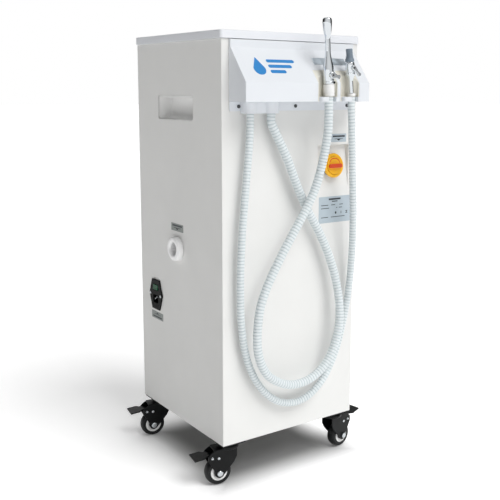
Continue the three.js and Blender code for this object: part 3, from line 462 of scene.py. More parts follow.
def smooth_route(route):
    """Centripetal Catmull-Rom through the route's points, and how far along it each sample lies."""
    points = [Vector(p) for p in route]
    points = [2 * points[0] - points[1], *points, 2 * points[-1] - points[-2]]
    dense = []
    for p0, p1, p2, p3 in zip(points, points[1:], points[2:], points[3:]):
        t1 = (p1 - p0).length ** 0.5
        t2 = t1 + (p2 - p1).length ** 0.5
        t3 = t2 + (p3 - p2).length ** 0.5
        for i in range(24):
            t = t1 + (t2 - t1) * i / 24
            a1 = p0 * ((t1 - t) / t1) + p1 * (t / t1)
            a2 = p1 * ((t2 - t) / (t2 - t1)) + p2 * ((t - t1) / (t2 - t1))
            a3 = p2 * ((t3 - t) / (t3 - t2)) + p3 * ((t - t2) / (t3 - t2))
            b1 = a1 * ((t2 - t) / t2) + a2 * (t / t2)
            b2 = a2 * ((t3 - t) / (t3 - t1)) + a3 * ((t - t1) / (t3 - t1))
            dense.append(b1 * ((t2 - t) / (t2 - t1)) + b2 * ((t - t1) / (t2 - t1)))
    dense.append(points[-2])
    lengths = [0.0]
    for a, b in zip(dense, dense[1:]):
        lengths.append(lengths[-1] + (b - a).length)
    return dense, lengths


def along(dense, lengths, distance):
    """The point and the direction at a distance along a dense line."""
    distance = min(max(distance, 0), lengths[-1])
    lower, upper = 0, len(lengths) - 1
    while upper - lower > 1:
        middle = (lower + upper) // 2
        if lengths[middle] <= distance:
            lower = middle
        else:
            upper = middle
    part = (distance - lengths[lower]) / (lengths[upper] - lengths[lower])
    before, after = dense[max(lower - 1, 0)], dense[min(upper + 1, len(dense) - 1)]
    return dense[lower].lerp(dense[upper], part), (after - before).normalized()


def corrugated_hose(name, route, diameter, node, sides=20):
    dense, lengths = smooth_route(route)
    ribs = round(lengths[-1] / RIB_PITCH)
    pitch = lengths[-1] / ribs
    rings = [((rib + place) * pitch, depth) for rib in range(ribs) for place, depth in RIB_SHAPE]
    rings.append((lengths[-1], 1.0))
    verts, faces, groove, centres = [], [], [], []
    side = Vector((1, 0, 0))
    for distance, depth in rings:
        centre, ahead = along(dense, lengths, distance)
        side = (side - ahead * side.dot(ahead)).normalized()
        over = ahead.cross(side)
        radius = diameter / 2 - GROOVE_DEPTH * depth
        centres.append(TO_ROW @ centre)
        for i in range(sides):
            angle = 2 * pi * i / sides
            verts.append(TO_ROW @ (centre + (side * cos(angle) + over * sin(angle)) * radius))
            groove.append(depth)
    for ring in range(len(rings) - 1):
        for i in range(sides):
            j = (i + 1) % sides
            faces.append((ring * sides + i, ring * sides + j, (ring + 1) * sides + j, (ring + 1) * sides + i))
    last = (len(rings) - 1) * sides
    faces.append(tuple(reversed(range(sides))))
    faces.append(tuple(range(last, last + sides)))
    mesh = bpy.data.meshes.new(name)
    mesh.from_pydata(verts, [], faces)
    # Painted shade: each ring's groove depth goes to the hose material, which darkens the grooves by it.
    mesh.attributes.new("groove", "FLOAT", "POINT").data.foreach_set("value", groove)
    piece = shown(name, mesh, HOSE_EVA, (node,), smooth=60, weighted=False)


# ---------------- repeated pieces by geometry nodes
def grown(name, points, tree, values, material, body="cabinet"):
    """Runs a node tree on a mesh of loose points (mm) and keeps the result as a plain piece."""
    seed = bpy.data.meshes.new(name)
    seed.from_pydata([in_row(*p) for p in points], [], [])
    piece = bpy.data.objects.new(name, seed)
    scene.collection.objects.link(piece)
    change = piece.modifiers.new("grow", "NODES")
    change.node_group = tree
    named = {s.name: s.identifier for s in tree.interface.items_tree if s.in_out == "INPUT"}
    for key, value in {**values, "Finish": material}.items():
        change[named[key]] = value
    mesh = applied(piece)
    bpy.data.objects.remove(piece)
    mesh.name = name
    return shown(name, mesh, material, body=body)


def new_tree(name, sockets):
    tree = bpy.data.node_groups.new(name, "GeometryNodeTree")
    tree.interface.new_socket("Geometry", in_out="INPUT", socket_type="NodeSocketGeometry")
    for label, kind, value in sockets:
        socket = tree.interface.new_socket(label, in_out="INPUT", socket_type=kind)
        if value is not None:
            socket.default_value = value
    tree.interface.new_socket("Finish", in_out="INPUT", socket_type="NodeSocketMaterial")
    tree.interface.new_socket("Geometry", in_out="OUTPUT", socket_type="NodeSocketGeometry")
    return tree, add_node(tree, "NodeGroupInput")


def end_tree(tree, given, shape):
    """Puts the shape on every point, turned where the tree has an input for that, and makes it real."""
    placed = add_node(tree, "GeometryNodeInstanceOnPoints", {"Points": given.outputs["Geometry"], "Instance": shape})
    if "Turn" in given.outputs:
        tree.links.new(given.outputs["Turn"], placed.inputs["Rotation"])
    real = add_node(tree, "GeometryNodeRealizeInstances", {"Geometry": placed.outputs["Instances"]})
    painted = add_node(tree, "GeometryNodeSetMaterial", {
        "Geometry": real.outputs["Geometry"], "Material": given.outputs["Finish"],
    })
    add_node(tree, "NodeGroupOutput", {"Geometry": painted.outputs["Geometry"]})
    return tree


def screw_tree():
    """A pan-head screw with a cross recess on each point, turned by Turn so that it faces its panel."""
    tree, given = new_tree("cross_recess_screws", [
        ("Radius", "NodeSocketFloat", 0.003), ("Height", "NodeSocketFloat", 0.0015),
        ("Turn", "NodeSocketRotation", None),
    ])
    radius, height = given.outputs["Radius"], given.outputs["Height"]
    head = add_node(tree, "GeometryNodeMeshCylinder", {"Vertices": 28, "Radius": radius, "Depth": height})
    dome = add_node(tree, "GeometryNodeMeshUVSphere", {"Segments": 28, "Rings": 12, "Radius": radius})
    low_dome = add_node(tree, "GeometryNodeTransform", {"Geometry": dome.outputs["Mesh"], "Scale": (1, 1, 0.35)})
    arm, thin, deep = [add_node(tree, "ShaderNodeMath", {0: radius, 1: share}, operation="MULTIPLY").outputs[0]
                       for share in (1.15, 0.24, 0.5)]
    across = add_node(tree, "ShaderNodeCombineXYZ", {"X": arm, "Y": thin, "Z": deep})
    upright = add_node(tree, "ShaderNodeCombineXYZ", {"X": thin, "Y": arm, "Z": deep})
    lift = add_node(tree, "ShaderNodeCombineXYZ", {"Z": deep})
    bars = [add_node(tree, "GeometryNodeMeshCube", {"Size": size.outputs["Vector"]}) for size in (across, upright)]
    raised = [add_node(tree, "GeometryNodeTransform", {
        "Geometry": bar.outputs["Mesh"], "Translation": lift.outputs["Vector"],
    }) for bar in bars]
    union = add_node(tree, "GeometryNodeMeshBoolean", operation="UNION")
    for part in (head.outputs["Mesh"], low_dome.outputs["Geometry"]):
        tree.links.new(part, union.inputs["Mesh 2"])
    screw = add_node(tree, "GeometryNodeMeshBoolean", {"Mesh 1": union.outputs["Mesh"]}, operation="DIFFERENCE")
    for part in raised:
        tree.links.new(part.outputs["Geometry"], screw.inputs["Mesh 2"])
    return end_tree(tree, given, screw.outputs["Mesh"])


def rivet_tree():
    """A domed rivet head on each point."""
    tree, given = new_tree("domed_rivets", [
        ("Radius", "NodeSocketFloat", 0.003), ("Rise", "NodeSocketFloat", 0.5),
        ("Turn", "NodeSocketRotation", None),
    ])
    dome = add_node(tree, "GeometryNodeMeshUVSphere", {
        "Segments": 24, "Rings": 12, "Radius": given.outputs["Radius"],
    })
    squat = add_node(tree, "ShaderNodeCombineXYZ", {"X": 1.0, "Y": 1.0, "Z": given.outputs["Rise"]})
    head = add_node(tree, "GeometryNodeTransform", {
        "Geometry": dome.outputs["Mesh"], "Scale": squat.outputs["Vector"],
    })
    return end_tree(tree, given, head.outputs["Geometry"])


def louvre_tree():
    """A pressed hood over each slot of the rear panel: half of a flattened bar."""
    tree, given = new_tree("pressed_louvres", [
        ("Length", "NodeSocketFloat", 0.15), ("Radius", "NodeSocketFloat", 0.003),
        ("Rise", "NodeSocketFloat", 0.7),
    ])
    bar = add_node(tree, "GeometryNodeMeshCylinder", {
        "Vertices": 20, "Radius": given.outputs["Radius"], "Depth": given.outputs["Length"],
    })
    level = add_node(tree, "GeometryNodeTransform", {
        "Geometry": bar.outputs["Mesh"], "Rotation": (0, radians(90), 0),
    })
    squat = add_node(tree, "ShaderNodeCombineXYZ", {"X": 1.0, "Y": given.outputs["Rise"], "Z": 1.0})
    hood = add_node(tree, "GeometryNodeTransform", {
        "Geometry": level.outputs["Geometry"], "Scale": squat.outputs["Vector"],
    })
    return end_tree(tree, given, hood.outputs["Geometry"])


SCREWS, RIVETS, LOUVRES = screw_tree(), rivet_tree(), louvre_tree()


# ---------------- cabinet
def handle_pocket(side):
    """A moulded finger pocket: a thin flange behind the sheet and a bowl that narrows inwards."""
    width, height, depth = 138, 46, 30
    depths = [(0, 0), (0.6, 0.8), (2.4, 8), (4.8, 20), (7.5, depth - 4), (12, depth - 1), (18, depth)]
    rings = []
    for inset, deep in depths:
        drop = 0.3 * inset
        outline = rounded(width - 1.7 * inset, height - 1.1 * inset, 6, -0.55 * inset, drop - 0.2 * inset, steps=5)
        rings.append([(x, y, -deep) for x, y in outline])
    turn_out = facing(-HALF_W - 0.05, HANDLE_Y, HANDLE_Z, turn_z=-90)
    bowl = lofted(rings)
    shell = prism(rounded(width + 3, height + 3, 7.5, steps=5), -depth - 1.5, -SHEET - 0.35, 0.8)
    flange = prism(rounded(width + 18, height + 18, 4), -SHEET - 1.9, -SHEET - 0.35, 0.3)
    cut_flange = prism(rounded(width - 2, height - 2, 6, steps=5), -SHEET - 3, 0)
    pocket = together(carved(shell, bowl), carved(flange, cut_flange))
    pocket.transform(turn_out)
    if side == "right":
        pocket.transform(Matrix.Diagonal((-1, 1, 1, 1)))
        bmesh.ops.reverse_faces(pocket, faces=pocket.faces)
    build(f"{side}_handle_pocket", pocket, FITTING_ABS, (f"{side}_handle_cup",))


def cabinet():
    for side in ("left", "right"):
        eased_copy(f"{side}_panel", f"{side}_side_sheet", 0.6, POWDER_COAT)
        handle_pocket(side)
    eased_copy("front_panel", "front_sheet", 0.7, POWDER_COAT)
    eased_copy("rear_panel", "rear_sheet", 0.6, POWDER_COAT)
    eased_copy("base_pan", "base_tray", 0.8, POWDER_COAT)
    # The cover: a moulded slab with rounded corners and a softly rolled top edge.
    width, depth = 2 * HALF_W + 6, 2 * HALF_D + 6
    levels = [(0.8, GAP), (0.2, 0.6), (0, 1.4), (0, 12.6), (0.3, 13.7), (1.0, 14.5), (2.2, 14.9), (3.2, 15)]
    rings = []
    for inset, height in levels:
        outline = rounded(width - 2 * inset, depth - 2 * inset, 6 - inset * 0.8, steps=8)
        rings.append([(x, y, BODY_TOP + height) for x, y in outline])
    build("top_cover_moulding", lofted(rings), COVER_ABS, ("top_cover",))
    points = [(x, HALF_D + 0.4, z) for x in (-144, 144) for z in (110, 300, 490, 680, 815)]
    back = rotation(-90, "X").to_euler()
    grown("rear_panel_screws", points, SCREWS, {"Radius": 0.0034, "Height": 0.0012, "Turn": back},
          ZINC)
    slots = [(0, HALF_D, VENT_Z + VENT_PITCH * i + 4.6) for i in range(VENTS)]
    grown("rear_louvres", slots, LOUVRES, {"Length": 0.154, "Radius": 0.0042, "Rise": 0.75},
          POWDER_COAT)


# ---------------- console
SLOPE_RUN, SLOPE_FALL = 49, SHOULDER - KINK
SLOPE_TILT = degrees(atan2(SLOPE_FALL, SLOPE_RUN))
CUP_BACK = CONSOLE_FRONT + 19
WIDE_CUP, NARROW_CUP = 39, 91.5
# Turns an outline in Y and Z, extruded along Z, to lie along X.
ALONG_X = Matrix(((0, 0, 1, 0), (1, 0, 0, 0), (0, 1, 0, 0), (0, 0, 0, 1)))


def on_slope(x, z):
    """A frame on the console's sloping face at a height z: X along it, Y up it, Z out of it."""
    y = FRONT - 6 - (SHOULDER - z) * SLOPE_RUN / SLOPE_FALL
    return facing(x, y, z, tilt_x=SLOPE_TILT)


def cup_bay(centre):
    return brick((centre - 23.3, centre + 23.3), (CONSOLE_FRONT - 5, CUP_BACK + 0.3), (720, SHOULDER))


def console():
    profile = [
        (FRONT - GAP, CONSOLE_BOTTOM), (CONSOLE_FRONT, CONSOLE_BOTTOM), (CONSOLE_FRONT, KINK),
        (FRONT - 6, SHOULDER), (FRONT - 6, CONSOLE_TOP), (FRONT - GAP, CONSOLE_TOP),
    ]
    shell = prism(profile, -CONSOLE_HALF, CONSOLE_HALF, 0, ALONG_X)
    fold = [e for e in shell.edges if all(abs(v.co.z - KINK) < 0.01 for v in e.verts)]
    ease(shell, 7, fold, steps=6, angle=20)
    front_edges = [e for e in shell.edges if all(v.co.y < FRONT - 5.9 for v in e.verts)]
    ease(shell, 2.6, front_edges, steps=4, angle=20)
    shell = carved(shell, cup_bay(WIDE_CUP), cup_bay(NARROW_CUP))
    build("console_cover", shell, CONSOLE_ABS, ("console_shell",))
    strip = prism(rounded(2 * CONSOLE_HALF, 18, 3, 0, 719), 0, 1.8, 0.6, facing(0, FRONT - GAP, 0), steps=2)
    build("console_flange", strip, CONSOLE_ABS)
    points = [(x, FRONT - GAP - 2.3, 718.5) for x in (-121, 4.6, 129)]
    front = rotation(90, "X").to_euler()
    grown("console_screws", points, SCREWS, {"Radius": 0.0033, "Height": 0.0012, "Turn": front},
          SCREW_STEEL)
    cups()
    manifold = prism(hose_block_outline(), MANIFOLD_FOOT, CONSOLE_BOTTOM, 1.6)
    build("hose_block", manifold, CONSOLE_ABS, ("hose_manifold",))
    plate = prism(rounded(76, 15, 1.5), 0.2, 1.4, 0.4, on_slope(66, 800), steps=2)
    build("handpiece_bracket", plate, STAINLESS)
    blue_mark()


def hose_block_outline():
    """Two rounded lobes, one round each hose, with a shallow waist between them."""
    back, lobe_y, bulge = FRONT - GAP, FRONT - 20, 9
    outline = [(-117, back), (-117, lobe_y)]
    for middle, reach in ((-106.5, 10.5), (-60.5, 13.5)):
        outline += arc([180 + 22.5 * step for step in range(9)], reach, middle, lobe_y, bulge)
    outline += [(-47, lobe_y), (-47, back)]
    kept = [outline[0]]
    for point in outline[1:]:
        if (Vector(point) - Vector(kept[-1])).length > 0.01:
            kept.append(point)
    return kept


def cups():
    """Two cups flush with the console, each scooped out round its handpiece and slotted for its hose."""
    back_top = KINK + (CUP_BACK - CONSOLE_FRONT) * SLOPE_FALL / SLOPE_RUN
    for name, centre, axis, hose, node in (
        ("wide_cup", WIDE_CUP, HVE_X, HVE_HOSE, "hve_holder"), ("narrow_cup", NARROW_CUP, SE_X, SE_HOSE, "se_holder"),
    ):
        side = [(CUP_BACK, CONSOLE_BOTTOM), (CONSOLE_FRONT, CONSOLE_BOTTOM), (CONSOLE_FRONT, KINK),
                (CUP_BACK, back_top)]
        block = prism(side, centre - 23, centre + 23, 0.6, ALONG_X, steps=2)
        half = hose / 2 + 0.4
        slot = [(axis - half, CONSOLE_FRONT - 12), (axis + half, CONSOLE_FRONT - 12),
                *arc(range(0, 181, 12), half, axis, HANDPIECE_Y)]
        scoop = turned([(0, CUP_FLOOR), (21, CUP_FLOOR), (21.8, back_top + 3), (0, back_top + 3)], segments=72)
        scoop.transform(at(centre, CONSOLE_FRONT, 0) @ Matrix.Diagonal((1, 12.2 / 21.8, 1, 1)))
        cup = carved(block, scoop, prism(slot, CONSOLE_BOTTOM - 2, CUP_FLOOR + 1))
        tongue = prism(rounded(40, 20, 6, centre, CONSOLE_FRONT), CONSOLE_BOTTOM, CUP_FLOOR, 1.0)
        lip = carved(tongue, prism(slot, CONSOLE_BOTTOM - 2, CUP_FLOOR + 1),
                     brick((0, 200), (CONSOLE_FRONT + 6, -100), (700, 760)))
        cup = together(cup, lip)
        # The faces inside the scoop take the second material: a warmer ABS, darker too as painted shade in the
        # hollow.
        for face in cup.faces:
            middle = face.calc_center_median()
            within = hypot((middle.x - centre) / 22.2, (middle.y - CONSOLE_FRONT) / 12.6) < 1
            face.material_index = 1 if within and middle.z >= CUP_FLOOR - 0.05 else 0
        build(name, cup, [CONSOLE_ABS, WARM_ABS_WITH_PAINTED_SHADE], (node,))


def blue_mark():
    """A plain printed mark on the console: a drop beside three bars."""
    drop = [(0, 20)] + [(12.5 * sin(a), -7 - 12.5 * cos(a)) for a in
                        [radians(110 - 220 * i / 24) for i in range(25)]]
    shapes = [prism(drop[::-1], 0, 0.25, 0, on_slope(-99, 789))]
    for level, (start, end) in zip((12, 0, -12), ((-78, -17), (-78, -27), (-78, -44))):
        bar = rounded(end - start, 7, 3.4, (start + end) / 2 + 64, level)
        shapes.append(prism(bar, 0, 0.25, 0, on_slope(-64, 789)))
    build("console_print", together(*shapes), BLUE_INK)


# ---------------- handpieces
def leaning(x, lean, cuff):
    foot = CUP_FLOOR + GAP + cuff / 2 * sin(radians(lean))
    return at(x, HANDPIECE_Y, foot) @ rotation(-lean, "Y")


def lever(name, node, body, axis, z, barrel, reach, arm, width, tilt):
    """A valve lever: a barrel through the handpiece, a waisted arm on its front end and a dark pin in it."""
    turn = axis @ at(0, 0, z) @ rotation(90, "X")
    swing = turn @ rotation(tilt, "Z")
    spindle = turned(soft_profile([(0, 1 - reach), (barrel / 2, 1 - reach), (barrel / 2, reach + 2.6),
                                   (0, reach + 2.6)], 0.8), turn, 40)
    half = width / 2
    outline = [*arc(range(60, 301, 15), half * 1.25), (arm * 0.55, -half * 0.62),
               *arc(range(-80, 81, 16), half, arm - half), (arm * 0.55, half * 0.62)]
    blade = prism(outline, reach + 0.1, reach + 3.1, 0.7, swing)
    build(name, together(spindle, blade), CHROME, (node,), body)
    pin = turned(soft_profile([(0, reach + 2), (1.7, reach + 2), (1.7, reach + 3.7), (0, reach + 3.9)], 0.4),
                 turn, 24)
    build(f"{name}_pin", pin, HUB_BLACK, body=body)


def handpieces():
    wide = leaning(HVE_X, HVE_LEAN, HVE_CUFF)
    cuff = turned(soft_profile([
        (0, 0), (9.8, 0), (10.2, 1), (10.2, 4.4), (9.8, 4.8), (9.8, 5.8), (10.2, 6.2), (10.2, 20.4), (9.4, 22),
        (0, 22),
    ], 0.5), wide)
    wide_cuff = build("wide_hose_cuff", cuff, FITTING_ABS, ("hve_cuff",))
    body = turned(soft_profile([
        (0, 22.3), (9.4, 22.3), (10.2, 23.4), (10.2, 26), (9.8, 26.5), (9.8, 27.3), (10.25, 27.8),
        (10.25, 50), (9.3, 56), (7.3, 64.5), (5.5, 73), (4.9, 79), (4.9, 103.5), (5.4, 107), (6.5, 111), (7.1, 115),
        (8.1, 124), (8.7, 131), (8.7, 135.5), (7.9, 138.6), (5.8, 140.2), (4.4, 140.4), (3.5, 139.8), (3.5, 120),
        (0, 120),
    ], 2.2, steps=5), wide, 72)
    build("wide_handpiece", body, CHROME, ("hve_handpiece",))
    lever("wide_valve_lever", "hve_valve", "wide_lever", wide, 38, 12, 11.45, 17.5, 9, -17)
    stop = turned(soft_profile([(0, 7.5), (2.3, 7.5), (2.3, 9.4), (1.9, 9.9), (0, 10)], 0.4),
                  wide @ at(6, 0, 24.6) @ rotation(90, "X"), 28)
    build("wide_valve_stop", stop, HUB_BLACK)
    narrow = leaning(SE_X, SE_LEAN, SE_CUFF)
    cuff = turned(soft_profile([(0, 0), (7.1, 0), (7.5, 0.8), (7.5, 4), (6.8, 5), (0, 5)], 0.5), narrow)
    narrow_cuff = build("narrow_hose_cuff", cuff, FITTING_ABS, ("se_cuff",))
    body = turned(soft_profile([
        (0, 5.3), (4.55, 5.3), (4.55, 29), (5.4, 32.5), (7.6, 36.6), (8.7, 40), (8.7, 43), (8.3, 43.4),
        (8.3, 44.3), (8.7, 44.7), (8.7, 59.5), (8.1, 62.4), (0, 62.7),
    ], 1.2, steps=4), narrow, 64)
    build("narrow_handpiece", body, CHROME, ("se_handpiece",))
    lever("narrow_valve_lever", "se_valve", "narrow_lever", narrow, 52, 9, 9.9, 21, 7, -48)
    profile = [(0, 63), (8.5, 63), (8.6, 65.4), (8.0, 68)]
    for i in range(6):
        base = 70 + i * 2.3
        radius = 6.25 + 0.9 * max(0, 1 - i / 2)
        profile += [(radius - 0.35, base), (radius - 0.35, base + 0.7), (radius, base + 1.0), (radius, base + 1.9)]
    profile += [(6.15, 85.6), (5.4, 87), (3, 87), (3, 75), (0, 75)]
    tip = turned(profile, narrow, 48)
    build("narrow_soft_tip", tip, TIP_RUBBER, ("se_tip",))
    corrugated_hose("wide_suction_hose", HVE_ROUTE, HVE_HOSE, "hve_hose")
    corrugated_hose("narrow_suction_hose", SE_ROUTE, SE_HOSE, "se_hose")


# ---------------- main switch and stickers
POCKET_TILT = degrees(atan2(10, 85))
POCKET_FOOT = 558
SWITCH_X, SWITCH_Z = 96, 602


def main_switch():
    y = FRONT + (SWITCH_Z - POCKET_FOOT) * tan(radians(POCKET_TILT))
    frame_out = facing(SWITCH_X, y, SWITCH_Z, tilt_x=90 - POCKET_TILT)
    collar = turned(soft_profile([(4.5, 0.3), (20.5, 0.3), (20.5, 6.3), (4.5, 6.3)], 0.6), frame_out, 64)
    build("switch_base", collar, GREY_PA, ("switch_collar",))
    ring = turned(soft_profile([
        (4.5, 6.6), (22, 6.6), (23.75, 8), (23.75, 11.4), (22, 13.4), (18.6, 13.6), (18, 13), (18, 9.1), (4.5, 9.1),
    ], 0.7), frame_out, 72)
    build("switch_escutcheon", ring, YELLOW_PC, ("switch_plate",))
    dial = turned(soft_profile([(0, -12), (4, -12), (4, 9.4), (17.5, 9.4), (17.5, 14.1), (16.8, 14.6),
                                (0, 14.6)], 0.5), frame_out, 72)
    line = prism(arc(range(-25, 156, 6), 14.6) + arc(range(155, -26, -6), 13.1), 14.5, 14.9, 0, frame_out)
    red = together(line, prism(rounded(31, 8, 3.4, 0, -1), 13.9, 20.4, 1.4, frame_out, steps=4))
    build("switch_dial", two_tone(dial, red), [YELLOW_PC, RED_PC], ("switch_knob",),
          "main_knob")


def sticker(name, width, height, place, ground, marks):
    """A vinyl sticker with printed marks, each a list of (x, y) points about the sticker's middle."""
    build(name, prism(rounded(width, height, 1.2), 0.05, 0.3, 0, place), ground)
    printed = [prism(mark, 0.28, 0.42, 0, place) for mark in marks]
    build(f"{name}_print", together(*printed), PRINT_INK)


def bar(x0, x1, y, thick):
    return [(x0, y - thick / 2), (x1, y - thick / 2), (x1, y + thick / 2), (x0, y + thick / 2)]


def triangle(x, y, half, height):
    """A triangle on a base in the middle of x, y; it points down where height is less than nothing."""
    base = [(x - half, y), (x + half, y)]
    return [*(base if height > 0 else base[::-1]), (x, y + height)]


def stickers():
    """Blank stickers: bars stand for lines of print, plain shapes for the symbols."""
    front = facing(112, FRONT, 656)
    sticker("switch_sticker", 38, 16, front, SILVER_VINYL, [
        bar(-15, 15, 3.2, 3.2), bar(-11, 11, -1.8, 0.9), triangle(0, -2.2, 5, -3.4),
    ])
    rows = [bar(-15, 15, 20.5, 3.4), bar(-7, 7, 16, 1.8)]
    for y, spans in ((9, ((-34, -16), (-9, 1), (12, 21))), (3, ((-34, -14), (4, 7), (11, 19))),
                     (-15, ((-34, -16), (-9, 26)))):
        rows += [bar(a, b, y, 1.3) for a, b in spans]
    rows += [arc(range(0, 360, 30), 2, 3, -7, 2.6), bar(16, 17.4, -7, 5), bar(28, 33, -5, 1.2),
             bar(28, 33, -9, 1.2), bar(29.8, 31.2, -7, 5)]
    sticker("rating_sticker", 79, 52, facing(104.5, FRONT, 516), SILVER_VINYL, rows)
    left = {"turn_z": -90}
    sticker("exhaust_sticker", 48, 15, facing(-HALF_W, 4, 479.5, **left), GREY_VINYL, [
        bar(-19, 19, 3.4, 3), bar(-14, 14, -1, 0.9), triangle(0, -1.8, 6, -3.6),
    ])
    sticker("mains_sticker", 50, 15.5, facing(-HALF_W, 95, 280, **left), GREY_VINYL, [
        triangle(0, 2.6, 6, 3.4), bar(-14, 14, 1.4, 0.9), bar(-19, 19, -3.4, 3),
    ])


# ---------------- left side
def left_side():
    outward = at(-HALF_W, PORT_Y, PORT_Z) @ rotation(-90, "Y")
    ring = turned(soft_profile([
        (12.5, -24), (16, -24), (16, 0.3), (24, 0.3), (24, 7.6), (23.2, 10.6), (21, 12), (15.5, 12), (12.5, 9.4),
        (12.5, -10),
    ], 1.0, steps=3), outward, 96, closed=True)
    build("exhaust_outlet_ring", ring, RING_NYLON, ("exhaust_port",))
    eased_copy("power_inlet", "mains_inlet_housing", 0.5, INLET_PA)
    eased_copy("rocker_switch", "mains_rocker", 0.5, GREEN_LENS, body="mains_rocker")
    eased_copy("fuse_drawer", "fuse_drawer_front", 0.4, INLET_PA, body="fuse_carrier")
    face = -HALF_W - GAP - INLET_FLANGE
    # Three contacts, each 2 x 4 mm, about the middle of the socket 9 mm under the module's middle.
    pins = [brick((face + INLET_FLANGE, face + 16), (y - 1, y + 1), (z - 2, z + 2), 0.5, steps=2)
            for y, z in ((INLET_Y - 7, INLET_Z - 10.5), (INLET_Y + 7, INLET_Z - 10.5), (INLET_Y, INLET_Z - 6.6))]
    build("mains_inlet_pins", together(*pins), ZINC)
    left = rotation(-90, "Y").to_euler()
    grown("mains_inlet_screws", [(face - 0.3, INLET_Y + side * 22, INLET_Z) for side in (-1, 1)], SCREWS,
          {"Radius": 0.0026, "Height": 0.0012, "Turn": left}, ZINC)


# ---------------- casters
def fork_cheek():
    """The pressed side of a fork: a sloping nose, a round boss at the axle and an ear for the pedal."""
    boss = arc(range(165, 345, 12), 9.5, AXLE_X, AXLE_Z)
    ear = arc(range(170, 231, 12), 4, -41, 54)
    return [(13.5, 72), (-32, 72), (-38, 69), (-44.6, 63), *ear, *boss, (-3, 33), (7, 44), (13, 55)][::-1]


def caster(corner):
    x, y, heading = CASTERS[corner]
    fixed = at(x, y, 0)
    swivel = fixed @ rotation(heading, "Z")
    upright = rotation(90, "X")
    plate = prism(rounded(52, 52, 4), 83, 85.7, 0.5, fixed, steps=2)
    holes = [turned([(0, 80), (2.75, 80), (2.75, 88), (0, 88)], fixed @ at(sx * 20, sy * 20, 0), 24)
             for sx in (-1, 1) for sy in (-1, 1)]
    plate = carved(plate, *holes)
    race = turned(soft_profile([
        (0, 66.2), (6.4, 66.2), (7.5, 67.4), (7.5, 70.4), (4.7, 70.6), (4.7, 79.2), (15, 79.6), (17, 80.8),
        (17, 83.2), (0, 83.2),
    ], 0.8), fixed, 48)
    build(f"caster_{corner}_mount", together(plate, race), BLACK_ENAMEL,
          (f"caster_{corner}_plate",))

    cheeks = [prism(fork_cheek(), side * 13.25 - 1.25, side * 13.25 + 1.25, 0.7, swivel @ upright, steps=2)
              for side in (-1, 1)]
    crown = prism(rounded(48, 29, 3, -9), 70.9, 73.9, 0.8, swivel, steps=2)
    head = turned(soft_profile([
        (5.3, 71.4), (20, 71.4), (21, 73), (21, 76.4), (18, 79.6), (5.3, 79.6),
    ], 1.2), swivel, 56, closed=True)
    build(f"caster_{corner}_yoke", together(crown, head, *cheeks), BLACK_ENAMEL,
          (f"caster_{corner}_fork",), f"swivel_{corner}")
    to_axle = swivel @ at(AXLE_X, 0, AXLE_Z) @ upright
    bolt = together(
        turned([(0, -14.9), (4, -14.9), (4, 14.9), (0, 14.9)], to_axle, 32),
        turned(soft_profile([(0, 14.8), (6, 14.8), (6, 16.6), (4.6, 17.9), (0, 18.1)], 0.8), to_axle, 40),
        prism(arc(range(0, 360, 60), 6), -18.1, -14.8, 0.7, to_axle),
    )
    build(f"caster_{corner}_bolt", bolt, ZINC, (f"caster_{corner}_axle",), f"swivel_{corner}")

    tyre = turned(soft_profile([
        (17.1, -9.4), (20.5, -9.4), (22.6, -9.8), (24.6, -7.6), (25.5, -4.5), (25.8, 0), (25.5, 4.5), (24.6, 7.6),
        (22.6, 9.8), (20.5, 9.4), (17.1, 9.4), (17.1, 0),
    ], 1.0), to_axle, 72, closed=True)
    build(f"caster_{corner}_tread", tyre, TYRE_RUBBER, (f"caster_{corner}_tyre",),
          f"wheel_{corner}")
    white = turned(soft_profile([
        (9.6, -8.2), (13, -9.2), (15.4, -9.8), (16.7, -9.2), (16.8, 0), (16.7, 9.2), (15.4, 9.8), (13, 9.2),
        (9.6, 8.2), (9.5, 0),
    ], 0.8), to_axle, 72, closed=True)
    black = turned(soft_profile([
        (4.5, -11.1), (8.6, -11.1), (9.4, -10.2), (9.4, 10.2), (8.6, 11.1), (4.5, 11.1), (4.5, 0),
    ], 0.5), to_axle, 48, closed=True)
    build(f"caster_{corner}_wheel", two_tone(white, black), [FITTING_ABS, HUB_BLACK],
          (f"caster_{corner}_rim",), f"wheel_{corner}")
    eased_copy(f"caster_{corner}_pedal", f"caster_{corner}_brake_pedal", 0.5, BLACK_ENAMEL,
               body=f"brake_{corner}")
    for side, label in ((1, "far"), (-1, "near")):
        turn = (swivel @ rotation(-90 * side, "X")).to_euler()
        points = [swivel @ Vector((px, side * 14.6, pz)) for px, pz in (PEDAL_PIN, STOP_PIN)]
        grown(f"caster_{corner}_{label}_rivets", points, RIVETS, {"Radius": 0.0028, "Rise": 0.45, "Turn": turn},
              ZINC, f"swivel_{corner}")


# ---------------- inside
def inside():
    """The pieces inside the cabinet keep their CAD shapes."""
    for node, material in {
        "suction_blower": CASTING, "blower_cradle": BLACK_ENAMEL, "tank_shelf": SHELF_STEEL, "waste_tank": TANK_PE,
        "tank_lid": BOX_ABS, "control_box": BOX_ABS, "feed_pipe": PIPE_RUBBER, "exhaust_pipe": PIPE_RUBBER,
    }.items():
        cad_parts[node].data.materials.clear()
        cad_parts[node].data.materials.append(material)


